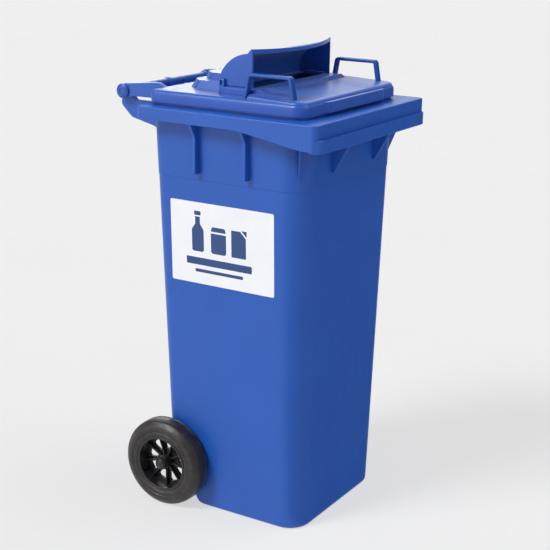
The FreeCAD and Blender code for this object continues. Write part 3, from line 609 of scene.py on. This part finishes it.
def inner_rings():
    """Rings from the bead's top down the inside to the edge of the tub's floor."""
    rings = []
    inner = BEAD_INSET + BEAD
    for s, c in rounding(3):
        rings.append(ring(lid_dims(inner - BEAD_EDGE_R * (1 - s)), BEAD_Z - BEAD_EDGE_R * (1 - c)))
    rings.append(ring(lid_dims(inner), UNDER_RIM_Z + 1.2))
    rings.append(ring(lid_dims(inner - 1.2), UNDER_RIM_Z))
    rings.append(ring(tub_dims(UNDER_RIM_Z, WALL + 1.5), UNDER_RIM_Z))
    for z in (UNDER_RIM_Z - 1.5, 800.0, *reversed(WALL_LEVELS), STEP_Z + WALL + 3):
        rings.append(ring(tub_dims(z, WALL), z))
    roof = STEP_Z + WALL
    for shift, rise in reversed(STEP_EDGE):
        rings.append(ring(back_moved(tub_dims(roof, WALL), shift), roof + rise))
    bend = STEP_INNER_R + WALL
    for s, c in reversed(rounding(5)):
        z = STEP_Z - STEP_INNER_R + (bend - STEP_GAP) * s
        rings.append(ring(foot_dims(z, WALL, STEP_FRONT + STEP_INNER_R - bend * c), z))
    low_r = STEP_R - WALL
    for z in (STEP_R, 18.0, 12.0):
        rings.append(ring(foot_dims(z, WALL, foot_back(z, low_r)), z))
    for s, c in rounding(4):
        z = WALL + FLOOR_R * (1 - s)
        rings.append(ring(foot_dims(z, WALL + FLOOR_R * (1 - c), foot_back(z, low_r) - 2 * (1 - c)), z))
    return rings


def wall_x(z):
    """Half width of the tub's outside at height z, above the mould line."""
    return BASE_HALF_W + (TOP_HALF_W - BASE_HALF_W) * z / TAPER_Z + BAND_STEP


def side_fin(y):
    """A fin on the left wall, flared out under the rim."""
    tip = -RIM_HALF_W + 1.5
    out = -SIDE_FIN_OUT
    low = SIDE_FIN_Z
    fin = along("side_fin", [
        (tip, FIN_TOP_Z, 0), (tip, SKIRT_Z - 2, 4), (out, FLARE_Z - 4, 12), (out, low, 4),
        (-wall_x(low) + FIN_ROOT, low, 0), (-wall_x(FIN_TOP_Z) + FIN_ROOT, FIN_TOP_Z, 0),
    ], y - FIN / 2, y + FIN / 2)
    return soften(fin)


def front_fin(x):
    """A three-cornered fin under the front of the rim."""
    wall = TOP_FRONT - BAND_STEP
    tip = TOP_FRONT - FRONT_FIN_REACH
    fin = across("front_fin", [
        (wall + FIN_ROOT, FIN_TOP_Z, 0), (wall + FIN_ROOT + 1, FRONT_FIN_Z, 0),
        (TOP_FRONT - FRONT_FIN_TIP, FRONT_FIN_Z, 2), (tip, FLARE_Z, 8), (tip, FIN_TOP_Z, 0),
    ], x - FIN / 2, x + FIN / 2)
    return soften(fin)


def corner_fin():
    """The fin that stands out diagonally from the left front corner."""
    fin = along("corner_fin", [
        (2.2, FIN_TOP_Z, 0), (3.6, CORNER_FIN_Z, 0), (1.2, CORNER_FIN_Z, 0),
        (-CORNER_FIN_REACH, FLARE_Z, 6), (-CORNER_FIN_REACH, FIN_TOP_Z, 0),
    ], -CORNER_FIN / 2, CORNER_FIN / 2)
    soften(fin, 1.0)
    turn = Matrix.Rotation(radians(CORNER_FIN_ANGLE), 4, "Z")
    fin.data.transform(Matrix.Translation((-CORNER_FIN_X * MM, CORNER_FIN_Y * MM, 0)) @ turn)
    return fin


def comb_band():
    """The ribbed band under the front of the rim that the lifting comb hooks behind."""
    low, high = COMB_BOTTOM_Z, COMB_TOP_Z
    front = COMB_FRONT + COMB_RIB
    inner = COMB_HALF_W - SKIRT
    back = front + COMB_R + 6
    band = upright("comb_band", [
        (-COMB_HALF_W, front, COMB_R), (COMB_HALF_W, front, COMB_R),
        (COMB_HALF_W, back, 0), (-COMB_HALF_W, back, 0),
    ], low, high, 9)
    soften(band, 1.5, 3, 50)
    pocket = upright("pocket", [
        (-inner, front + SKIRT, COMB_R - SKIRT), (inner, front + SKIRT, COMB_R - SKIRT),
        (inner, back + 3, 0), (-inner, back + 3, 0),
    ], low - 2, high - SKIRT, 9)
    combine(band, [pocket], "DIFFERENCE")
    ribs = []
    pitch = 2 * COMB_HALF_W / 11
    foot, crest = 2.4, 0.8
    for k in range(-3, 4):
        x = k * pitch
        rib = upright("rib", [
            (x - foot, front + 0.2, 0), (x - crest, COMB_FRONT, 0.6), (x + crest, COMB_FRONT, 0.6),
            (x + foot, front + 0.2, 0), (x + foot, front + 2, 0), (x - foot, front + 2, 0),
        ], low + 2.0, high - 2.4, 2)
        ribs.append(rib)
    return combine(band, ribs, "UNION")


def bracket(x0, x1):
    """A plate behind the rim, ending in the eye that holds the handle bar."""
    plate = across("bracket", [
        (TOP_BACK - 1, BRACKET_TOP_Z, 0), (HINGE_Y - 22, BRACKET_TOP_Z, 8), (HINGE_Y - 10, HINGE_Z, 0),
        (HINGE_Y + 10, HINGE_Z, 0), *BRACKET_CURVE, (TOP_BACK - 2.5, BRACKET_FOOT_Z, 0),
    ], x0, x1, 9)
    soften(plate, 1.6)
    return combine(plate, [disc("eye", x0, x1, BRACKET_EYE_R, 1.6)], "UNION")


def saddle(x):
    """A plate under the step's roof that the axle passes through."""
    plate = across("saddle", [
        (SADDLE_FRONT, STEP_Z + 2, 0), (SADDLE_FRONT, STEP_Z - 14, 4), (AXLE_Y - 18, SADDLE_LOW_Z, 8),
        (AXLE_Y + 14, SADDLE_LOW_Z, 8), (AXLE_Y + 14, STEP_Z + 2, 0),
    ], x, x + SADDLE)
    return soften(plate)


def tub_pair(obj, name):
    """Dress a left form of the tub's moulding and its mirror image."""
    dress_pair(obj, name + "_{side}", "tub", "tub_plastic")


def build_tub():
    """The tub and everything that is moulded on it."""
    shell = loft("tub_shell", outer_rings() + rim_rings() + inner_rings())
    dress(shell, "tub", "tub_plastic", "bin_body")
    dress(comb_band(), "tub", "tub_plastic")
    for number, y in enumerate(SIDE_FIN_Y):
        tub_pair(side_fin(y), "side_fin_%d" % number)
    tub_pair(corner_fin(), "corner_fin")
    tub_pair(front_fin(-FRONT_FIN_X), "front_fin")
    tub_pair(bracket(-BRACKET_OUT, -BRACKET_IN), "bracket")
    middle = bracket(-BRACKET_MIDDLE, BRACKET_MIDDLE)
    middle.name = "bracket_middle"
    dress(middle, "tub", "tub_plastic")
    for number, x in enumerate(SADDLE_X):
        tub_pair(saddle(-x - SADDLE), "saddle_%d" % number)


def build_hinge_line():
    """The handle bar and the hinge pins."""
    bar = turned("handle_bar", [
        (-BRACKET_OUT, PIN_R, 0.6), (-BRACKET_OUT, BAR_R, 0.8),
        (BRACKET_OUT, BAR_R, 0.8), (BRACKET_OUT, PIN_R, 0.6),
    ], HINGE_Y, HINGE_Z, 64)
    dress(bar, "tub", "fitting_plastic", "rear_handle_bar")
    inner = -BRACKET_OUT + PIN_DEPTH - 1
    pin = turned("pin", [
        (-PIN_HEAD_OUT + 1.2, NEAR_AXIS, 0), (-PIN_HEAD_OUT + 1.2, 5.5, 0.4), (-PIN_HEAD_OUT, 6.6, 0.5),
        (-PIN_HEAD_OUT, 9.5, 4), (-PIN_HEAD_OUT + 3, ARM_EYE_R, 2), (-ARM_OUT - 0.5, ARM_EYE_R, 0.5),
        (-ARM_OUT - 0.5, PIN_R, 0), (inner, PIN_R, 1.5), (inner, NEAR_AXIS, 0),
    ], HINGE_Y, HINGE_Z, 64)
    dress_pair(pin, "hinge_pin_skin_{side}", "tub", "fitting_plastic", "hinge_pin_{side}")


# ---- lid
def lid_cover(inset):
    """The lid's main slab with a rounded top edge, or the space under it."""
    top = LID_TOP_Z - inset
    edge = LID_EDGE_R - inset
    if inset:
        rings = [ring(lid_dims(inset), LID_BOTTOM_Z - 3)]
    else:
        rings = [ring(lid_dims(1.2), LID_BOTTOM_Z), ring(lid_dims(0.35), LID_BOTTOM_Z + 0.35),
                 ring(lid_dims(0), LID_BOTTOM_Z + 1.2)]
    for s, c in rounding(5):
        rings.append(ring(lid_dims(inset + edge * (1 - c)), top - edge + edge * s))
    return loft("lid_cover", rings)


def form_foot(inset):
    """Where a raised form starts: in the lid's slab, or for the space inside it below the lid."""
    return LID_BOTTOM_Z - 3 if inset else LID_TOP_Z - 3


def front_panel(inset):
    """The raised panel in front of the hood, sloping down to the grip lip, with soft shoulders."""
    slope = (PANEL_BACK_Z - PANEL_FRONT_Z) / (PANEL_BACK - LID_FRONT)

    def top(drop):
        return lambda y: PANEL_FRONT_Z + slope * (y - LID_FRONT) - drop - inset

    def dims(shift):
        half, front = LID_HALF_W - shift - inset, LID_FRONT + shift + inset
        return (half, front, PANEL_BACK - inset, LID_FRONT_R - shift, 1.0)

    rings = [ring(dims(3.4), form_foot(inset))]
    for shift, drop in ((3.4, 5.6), (4.6, 3.2), (7.0, 1.3), (10.5, 0.35), (15.0, 0.0)):
        rings.append(ring(dims(shift), top(drop)))
    return loft("front_panel", rings)


def plateau(half, back, top, inset):
    """A raised step behind the hood, with leaning walls and its back corners cut off."""
    half -= inset
    back -= inset
    front = PLATEAU_FRONT + inset
    cut = PLATEAU_CUT
    rings = []
    walls = ((form_foot(inset), PLATEAU_LEAN), (form_foot(0) + 0.1, PLATEAU_LEAN), (top - inset, 0.0))
    for z, grow in walls:
        flat = outline([
            (-half - grow, front, 0), (half + grow, front, 0), (half + grow, back - cut + grow, 12),
            (half - cut + grow, back + grow, 12), (-half + cut - grow, back + grow, 12),
            (-half - grow, back - cut + grow, 12),
        ])
        rings.append([(p.x, p.y, z) for p in flat])
    made = loft("plateau", rings)
    return made if inset else soften(made, 2.2)


def pad(inset):
    """The pad round the mouth that carries the hood."""
    low = form_foot(inset)
    half = PAD_HALF_W - inset
    seat_half = SEAT_HALF_W - inset
    back = PAD_BACK - inset
    made = across("pad", [
        (PAD_FOOT + inset, low, 0), (PAD_FOOT + inset, PANEL_BACK_Z - 1.2 - inset, 0),
        (PAD_FRONT + inset, PAD_Z - inset, 0), (back, PAD_Z - inset, 0), (back, low, 0),
    ], -half, half)
    seat = upright("seat", [
        (seat_half, back - 9, 0), (seat_half, SEAT_BACK - inset, 0),
        (-seat_half, SEAT_BACK - inset, 0), (-seat_half, back - 9, 0),
    ], low, PAD_Z - inset)
    combine(made, [seat], "UNION")
    return made if inset else soften(made, 2.0, 3, 24)


def grip_lip():
    """The grip lip along the front of the lid, with soft ends."""
    root = LIP_HALF_W + LIP_SLANT
    lip = upright("grip_lip", [
        (-LIP_HALF_W, LIP_FRONT, 16), (LIP_HALF_W, LIP_FRONT, 16), (root, LID_FRONT, 0),
        (root, LID_FRONT + 2, 0), (-root, LID_FRONT + 2, 0), (-root, LID_FRONT, 0),
    ], LIP_BOTTOM_Z, LIP_TOP_Z)
    return soften(lip, 2.6, 4, 32)


def lid_arm():
    """The left arm from the back of the lid to the hinge line."""
    arm = across("arm", [
        (ARM_FRONT, LID_TOP_Z - 2, 0), (*ARM_RISE, 10), (HINGE_Y, HINGE_Z + ARM_EYE_R, 0),
        (HINGE_Y, HINGE_Z - ARM_EYE_R, 0), (ARM_BEND_Y, LID_BOTTOM_Z, 24), (LID_BACK - 2, LID_BOTTOM_Z, 0),
        (LID_BACK - 2, BEAD_Z + 4, 0), (ARM_FRONT, BEAD_Z + 4, 0),
    ], -ARM_OUT, -ARM_IN, 9)
    soften(arm, 1.4)
    eye = disc("eye", -ARM_OUT, -ARM_IN, ARM_EYE_R, 1.4)
    bore = disc("bore", -ARM_OUT - 2, -ARM_IN + 2, PIN_R + 0.1, 0)
    combine(arm, [eye], "UNION")
    return combine(arm, [bore], "DIFFERENCE")


def build_lid():
    """The lid, its arms and its bow handles."""
    skin = lid_cover(0)
    skin.name = "lid_shell"
    forms = [front_panel(0), pad(0)]
    forms += [plateau(half, back, top, 0) for half, back, top in PLATEAUS]
    combine(skin, forms + [grip_lip()], "UNION")
    space = lid_cover(LID_WALL)
    spaces = [front_panel(LID_WALL), pad(LID_WALL)]
    spaces += [plateau(half, back, top, LID_WALL) for half, back, top in PLATEAUS]
    combine(space, spaces, "UNION")
    mouth = upright("mouth", oblong(-MOUTH_HALF_W, MOUTH_HALF_W, MOUTH_FRONT, MOUTH_BACK, 6),
                    LID_BOTTOM_Z - 5, PAD_Z + 5)
    combine(skin, [space, mouth], "DIFFERENCE")
    dress(skin, "lid_assembly", "lid_plastic", "lid")
    dress_pair(lid_arm(), "lid_arm_{side}", "lid_assembly", "lid_plastic")
    dress_pair(bow_handle(), "bow_handle_{side}", "lid_assembly", "fitting_plastic", "lid_handle_{side}")


def bow_handle():
    """The left bow handle: a flat strap with soft edges, bent over two splayed legs."""
    half = BOW_STRAP / 2
    path = outline([
        (BOW_FOOT_BACK - half, LID_TOP_Z - 1, 0), (BOW_BACK - half, BOW_Z - half, BOW_R - half),
        (BOW_FRONT + half, BOW_Z - half, BOW_R - half), (BOW_FOOT_FRONT + half, LID_TOP_Z + 3.5, 0),
    ], 9)
    section = outline(oblong(-BOW_WIDTH / 2, BOW_WIDTH / 2, -half, half, BOW_EDGE_R), 5)
    rings = []
    for i, here in enumerate(path):
        before = path[max(i - 1, 0)]
        after = path[min(i + 1, len(path) - 1)]
        way = (after - before).normalized()
        side = Vector((-way.y, way.x))
        rings.append([(-BOW_X + p.x, here.x + side.x * p.y, here.y + side.y * p.y) for p in section])
    return loft("bow_handle", rings)


# ---- hood
def hood_edge(steps):
    """(x, y) points along the hood's bulging front edge."""
    radius = (HOOD_HALF_W ** 2 + HOOD_BULGE ** 2) / (2 * HOOD_BULGE)
    reach = asin(HOOD_HALF_W / radius)
    angles = [-reach + 2 * reach * k / steps for k in range(steps + 1)]
    return [(radius * sin(a), HOOD_FRONT - HOOD_BULGE + radius * (1 - cos(a))) for a in angles]


def hood_prism(low, high):
    """A prism over the hood's plan."""
    flat = hood_edge(24) + [(HOOD_HALF_W, HOOD_BACK), (-HOOD_HALF_W, HOOD_BACK)]
    return loft("hood_plan", [[(x, y, z) for x, y in flat] for z in (low, high)])


def hood_form(inset, reach=0.0):
    """The hood's quarter-round form, too long in front; reach makes it longer in front and below."""
    radius = HOOD_ARC_R - inset
    front, low = HOOD_FORM_FRONT - reach, PAD_Z - reach
    steps = 26
    end = acos((HOOD_BACK - inset - HOOD_ARC_Y) / radius)
    profile = [(front, low), (front, HOOD_ARC_Z + radius)]
    for k in range(steps + 1):
        angle = pi / 2 - (pi / 2 - end) * k / steps
        profile.append((HOOD_ARC_Y + radius * cos(angle), HOOD_ARC_Z + radius * sin(angle)))
    profile.append((HOOD_BACK - inset, low))
    half = HOOD_HALF_W - inset
    return loft("hood_form", [[(x, y, z) for y, z in profile] for x in (-half, half)])


def along_front(name, section):
    """A bar along the hood's front edge; section(front, top) gives its (y, z, rounding) corners."""
    rings = []
    for x, front in hood_edge(28):
        top = HOOD_LIP_Z - HOOD_LIP_SAG * (1 - (x / HOOD_HALF_W) ** 2)
        rings.append([(x, p.x, p.y) for p in outline(section(front, top), 4)])
    return loft(name, rings)


def hood_lip(front, top):
    """Section of the lip that the roof flares up into."""
    roof = HOOD_ARC_Z + HOOD_ARC_R
    low = roof - HOOD_WALL
    flare = front + HOOD_FLARE
    return [
        (front, low, 0.8), (front, top, 1.2), (front + HOOD_LIP_THICK * 0.6, top, 1.2),
        (flare, roof - 0.6, 6), (flare + 4, roof - 1, 0), (flare, low, 0),
    ]


def under_lip(front, top):
    """Section of the hollow under the lip, which follows the flare."""
    low = HOOD_ARC_Z + HOOD_ARC_R - HOOD_WALL
    high = top - HOOD_LIP_HIGH
    flare = front + HOOD_FLARE
    return [
        (front - 4, low - 6, 0), (front - 4, high, 0), (front + 0.6, high, 1.5),
        (flare, low + 0.01, 4), (flare + 6, low - 0.2, 0), (flare, low - 6, 0),
    ]


def build_hood():
    """The hood over the mouth and its two clips."""
    hood = soften(hood_form(0), 3.0, 4)
    hood.name = "hood_shell"
    foot = PAD_Z + 0.02
    keep = hood_prism(foot, HOOD_ARC_Z + HOOD_ARC_R + 5)
    combine(hood, [keep], "INTERSECT")
    space = soften(hood_form(HOOD_WALL, 4.0), 2.0, 3)
    combine(hood, [space], "DIFFERENCE")
    combine(hood, [along_front("hood_lip", hood_lip)], "UNION")
    hollow = along_front("under_lip", under_lip)
    inner = HOOD_HALF_W - HOOD_WALL
    combine(hollow, [block("inner", -inner, inner, -80, 30, PAD_Z, HOOD_LIP_Z)], "INTERSECT")
    combine(hood, [hollow], "DIFFERENCE")
    for sign in (-1, 1):
        low, high = sorted((sign * (HOOD_HALF_W - 1), sign * (inner - HOOD_FLANGE)))
        flange = oblong(low, high, *HOOD_FLANGE_Y, 2)
        combine(hood, [upright("flange", flange, foot, PAD_Z + HOOD_FLANGE_THICK + 0.02, 3)], "UNION")
    dress(hood, "lid_assembly", "lid_plastic", "throw_in_hood")

    outer, inner = -HOOD_HALF_W - CLIP_THICK, -HOOD_HALF_W - 0.2
    clip = along("clip", [
        (outer, LID_TOP_Z, 0), (outer, CLIP_Z, 3), (inner, CLIP_Z, 0), (inner, LID_TOP_Z, 0),
    ], CLIP_FRONT, CLIP_BACK)
    soften(clip)
    seat = block("seat", -PAD_HALF_W, -HOOD_HALF_W + 5,
                 CLIP_FRONT - 6, PAD_BACK - 0.1, LID_TOP_Z - 1, PAD_Z + 0.1)
    slot = block("slot", outer - 2, outer + 4, CLIP_FRONT + 4, CLIP_BACK - 3, CLIP_Z - 13, CLIP_Z - 3)
    combine(clip, [seat, slot], "DIFFERENCE")
    dress_pair(clip, "hood_clip_skin_{side}", "lid_assembly", "lid_plastic", "hood_clip_{side}")


# ---- wheels
def tyre():
    """The left tyre: round shoulders, a groove near its inner edge and moulded sidewall rings."""
    out, groove, side = -TYRE_OUT, -TYRE_GROOVE, SIDE_RING_R
    return turned("tyre", [
        (out + 2.5, SEAT_R, 1.2), (out, SEAT_R + 5, 2.5), (out, side - 2, 0.6), (out + 1.0, side - 1, 0.4),
        (out + 1.0, side + 1, 0.4), (out, side + 2, 0.6), (out, SHOULDER_R, 14),
        (out + 9, WHEEL_R - 2, 11), (out + 20, WHEEL_R, 30),
        (groove - 1.6, WHEEL_R, 0.8), (groove, WHEEL_R - 2.6, 0.6), (groove + 1.6, WHEEL_R, 0.8),
        (-TYRE_IN - 2, WHEEL_R, 2),
        (-TYRE_IN, WHEEL_R - 12, 6), (-TYRE_IN, SEAT_R + 4, 2), (-TYRE_IN - 2, SEAT_R, 0.5),
    ], AXLE_Y, AXLE_Z, 128, 6)


def spoke_form(name, low, high, x0, x1, turn):
    """A form in the hub, turned about the axle; low and high are (radius, half width, rounding)."""
    (near, near_half, near_r), (far, far_half, far_r) = low, high
    flat = outline([
        (-near_half, near, near_r), (near_half, near, near_r),
        (far_half, far, far_r), (-far_half, far, far_r),
    ], 5)
    c, s = cos(turn), sin(turn)
    return loft(name, [
        [(x, AXLE_Y + p.x * c - p.y * s, AXLE_Z + p.x * s + p.y * c) for p in flat] for x in (x0, x1)])


def hub():
    """The left hub: barrel, web with openings, ribs and a bored boss."""
    near, far, bore = BOSS_R - 3, BARREL_R + 2, AXLE_R + 0.05
    barrel = turned("hub", [
        (-TYRE_OUT + 1.5, BARREL_R, 1.2), (-TYRE_OUT + 1.5, SEAT_R, 1.2), (-TYRE_IN - 1, SEAT_R, 1.2),
        (-TYRE_IN - 1, BARREL_R, 1.2),
    ], AXLE_Y, AXLE_Z)
    web = turned("web", [
        (-WEB_OUT, near, 0), (-WEB_OUT, far, 0), (-WEB_IN, far, 0), (-WEB_IN, near, 0),
    ], AXLE_Y, AXLE_Z)
    openings = []
    for k in range(SPOKES):
        turn = 2 * pi * k / SPOKES
        openings.append(spoke_form("opening", OPENING_LOW, OPENING_HIGH, -WEB_OUT - 12, -WEB_IN + 8, turn))
    combine(web, openings, "DIFFERENCE")
    soften(web, 0.8, 2, 50)
    boss = turned("boss", [
        (-BOSS_OUT, bore, 0.3), (-BOSS_OUT, BOSS_R, 1), (-BOSS_IN, BOSS_R, 1), (-BOSS_IN, bore, 0.3),
    ], AXLE_Y, AXLE_Z, 64)
    ribs = []
    for k in range(SPOKES):
        turn = 2 * pi * (k + 0.5) / SPOKES
        low, high = (near, RIB_HALF_W, 0), (far, RIB_HALF_W, 0)
        rib = spoke_form("rib", low, high, -WEB_OUT - 8, -WEB_IN - 1, turn)
        ribs.append(soften(rib, 0.9, 2))
    return combine(barrel, [web, boss] + ribs, "UNION")


def build_wheels():
    """Tyres, hubs, caps and the sleeves on the axle."""
    dress_pair(tyre(), "tyre_skin_{side}", "wheel_{side}", "tread_rubber", "tyre_{side}")
    dress_pair(hub(), "hub_skin_{side}", "wheel_{side}", "wheel_plastic", "wheel_hub_{side}")
    cap = turned("cap", [
        (-CAP_OUT, NEAR_AXIS, 0), (-CAP_OUT, 6.5, 0.6), (-CAP_OUT + 0.8, 7.4, 0.4), (-CAP_OUT, 8.3, 0.4),
        (-CAP_OUT, CAP_R - 2, 2), (-CAP_OUT + 4, CAP_R + 1, 2), (-BOSS_OUT, BOSS_R, 0.4),
        (-BOSS_OUT, BOSS_R - 1.8, 0), (-CAP_OUT + 5, BOSS_R - 2.2, 0), (-CAP_OUT + 4, NEAR_AXIS, 0),
    ], AXLE_Y, AXLE_Z, 64)
    dress_pair(cap, "hub_cap_skin_{side}", "wheel_{side}", "wheel_plastic", "hub_cap_{side}")
    sleeve = turned("sleeve", [
        (-BOSS_IN + 0.3, AXLE_R, 0.3), (-BOSS_IN + 0.3, SLEEVE_R, 0.8),
        (-SADDLE_X[1] - SADDLE, SLEEVE_R, 0.8), (-SADDLE_X[1] - SADDLE, AXLE_R, 0.3),
    ], AXLE_Y, AXLE_Z, 48)
    dress_pair(sleeve, "axle_sleeve_{side}", "tub", "wheel_plastic", "axle_spacer_{side}")


# ---- label
def on_label(flat, low, high):
    """Rings of a label shape: (distance from the label's back edge, height on it) to the left wall."""
    slope = (TOP_HALF_W - BASE_HALF_W) / TAPER_Z
    out = Vector((-1.0, 0.0, -slope)).normalized()
    rings = []
    for lift in (low, high):
        ring_points = []
        for p in flat:
            z = LABEL_BOTTOM_Z + p.y
            base = Vector((-BASE_HALF_W - slope * z, LABEL_BACK - p.x, z))
            ring_points.append(tuple(base + out * lift))
        rings.append(ring_points)
    return rings


def print_shapes(width, height):
    """The label's print: a bottle, a can and a sheet of paper over two plain bars."""
    middle = width * 0.47
    foot = height * 0.40
    bottle = [(-15, 0, 5), (15, 0, 5), (15, 48, 9), (6, 60, 4),
              (6, 76, 1), (-6, 76, 1), (-6, 60, 4), (-15, 48, 9)]
    cap = oblong(-8, 8, 79, 88, 1.5)
    can = [(-19, 0, 6), (19, 0, 6), (19, 44, 2), (-19, 44, 2)]
    can_top = [(-19, 48, 2), (19, 48, 2), (16, 58, 4), (-16, 58, 4)]
    sheet = [(-18, 0, 1.5), (18, 0, 1.5), (18, 44, 1.5), (4, 58, 1), (-18, 58, 1.5)]
    fold = [(7, 60, 0.5), (20, 47, 0.5), (20, 60, 1.5)]
    shapes = []
    for shapes_of_one, x in (((bottle, cap), -52), ((can, can_top), 0), ((sheet, fold), 50)):
        for shape in shapes_of_one:
            shapes.append([(middle + x + a, foot + b, r) for a, b, r in shape])
    for low, high, reach in ((0.235, 0.325, 82), (0.145, 0.185, 60)):
        shapes.append(oblong(middle - reach, middle + reach, height * low, height * high, 2))
    return shapes


def build_label():
    """The label on the left wall and its print."""
    width = LABEL_BACK - LABEL_FRONT
    height = LABEL_TOP_Z - LABEL_BOTTOM_Z
    sheet = outline(oblong(0, width, 0, height, LABEL_R))
    label = soften(loft("label", on_label(sheet, 0.0, LABEL)), 0.12, 2)
    dress(label, "tub", "label_film", "side_label")
    for number, corners in enumerate(print_shapes(width, height)):
        mark = loft("label_print_%d" % number, on_label(outline(corners, 6), LABEL - 0.1, LABEL + 0.06))
        dress(mark, "tub", "label_print", slot="label_film")


# ---- studio
def look_axes(azimuth, elevation, roll):
    """The camera's right, up and back directions."""
    a, e, r = radians(azimuth), radians(elevation), radians(roll)
    back = Vector((sin(a) * cos(e), -cos(a) * cos(e), sin(e)))
    level = Vector((cos(a), sin(a), 0.0))
    high = back.cross(level)
    return level * cos(r) + high * sin(r), high * cos(r) - level * sin(r), back


def lamp(name, kind, place, target, power):
    """A light of the given kind at place, facing target."""
    data = bpy.data.lights.new(name, kind)
    data.energy = power
    made = bpy.data.objects.new(name, data)
    bpy.context.scene.collection.objects.link(made)
    made.location = place
    made.rotation_euler = (Vector(target) - Vector(place)).to_track_quat("-Z", "Y").to_euler()
    return made


def sun(name, azimuth, elevation, power, softness):
    """A broad light from far away; azimuth is counted from -Y towards +X."""
    a, e = radians(azimuth), radians(elevation)
    place = Vector((sin(a) * cos(e), -cos(a) * cos(e), sin(e))) * 6
    lamp(name, "SUN", place, (0, 0, 0), power).data.angle = radians(softness)


def card(name, place, width, height, glow):
    """A white card with an even glow that is seen only in reflections, facing the lid."""
    made = lamp(name, "AREA", place, LID_MIDDLE, glow * pi * width * height)
    made.data.shape = "RECTANGLE"
    made.data.size, made.data.size_y = width, height
    made.visible_diffuse = False


def staged(name, points, faces, greys, scale, specular=0.0, glow=0.0, unseen=()):
    """A plain matt piece of the studio between two greys; unseen names the rays that pass it by."""
    mesh = bpy.data.meshes.new(name)
    mesh.from_pydata(points, [], faces)
    obj = bpy.data.objects.new(name, mesh)
    bpy.context.scene.collection.objects.link(obj)
    made, tree, shader, place = new_material(name)
    cloud = spread(tree, noise(tree, place, scale), 0.0, 1.0)
    tree.links.new(mix(tree, cloud, *[(grey,) * 3 for grey in greys]), shader.inputs["Base Color"])
    for socket, value in (("Roughness", 1.0), ("Specular IOR Level", specular),
                          ("Emission Color", (1.0, 1.0, 1.0, 1.0)), ("Emission Strength", glow)):
        shader.inputs[socket].default_value = value
    mesh.materials.append(made)
    for rays in unseen:
        setattr(obj, "visible_" + rays, False)


def build_surroundings():
    """A wide floor whose glow keeps shadows light, and a far wall all round that only the camera sees."""
    half = 60.0
    floor = [(-half, -half, 0), (half, -half, 0), (half, half, 0), (-half, half, 0)]
    staged("floor", floor, QUAD, (0.245, 0.255), 2.0, glow=FLOOR_GLOW)
    radius, high, sides = 58.0, 60.0, 64
    flat = [(radius * cos(2 * pi * k / sides), radius * sin(2 * pi * k / sides)) for k in range(sides)]
    wall = [(x, y, z) for z in (0.0, high) for x, y in flat]
    panels = [(k, (k + 1) % sides, (k + 1) % sides + sides, k + sides) for k in range(sides)]
    staged("backdrop", wall, panels, (0.002, 0.004), 0.5, glow=BACKDROP_GLOW,
           unseen=("diffuse", "glossy", "shadow", "transmission"))


def build_studio():
    """The camera, the surroundings and the lights."""
    scene = bpy.context.scene
    scene.view_settings.view_transform = "Standard"
    data = bpy.data.cameras.new("camera")
    data.sensor_width = SENSOR
    data.lens = CAMERA_LENS
    camera = bpy.data.objects.new("camera", data)
    scene.collection.objects.link(camera)
    turn = Matrix(look_axes(CAMERA_AZIMUTH, CAMERA_ELEVATION, CAMERA_ROLL)).transposed().to_4x4()
    camera.matrix_world = Matrix.Translation(CAMERA_PLACE) @ turn
    scene.camera = camera
    build_surroundings()

    world = bpy.data.worlds.new("studio")
    world.use_nodes = True
    sky = world.node_tree.nodes["Background"]
    sky.inputs["Color"].default_value = (0.86, 0.86, 0.86, 1.0)
    sky.inputs["Strength"].default_value = WORLD
    scene.world = world
    for values in SUNS:
        sun(*values)
    for values in CARDS:
        card(*values)
    for name, corners in FLAGS:
        staged(name, corners, QUAD, (0.012, 0.018), 3.0, specular=0.5,
               unseen=("camera", "diffuse", "shadow", "transmission"))


build_studio()
build_tub()
build_hinge_line()
build_lid()
build_hood()
build_wheels()
build_label()
for name, look in (("axle", "steel"), ("hood_screws", "dark_steel"), ("handle_screws", "dark_steel"),
                   ("retaining_ring_left", "steel"), ("retaining_ring_right", "steel")):
    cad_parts[name].data.materials.clear()
    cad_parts[name].data.materials.append(LOOKS[look])
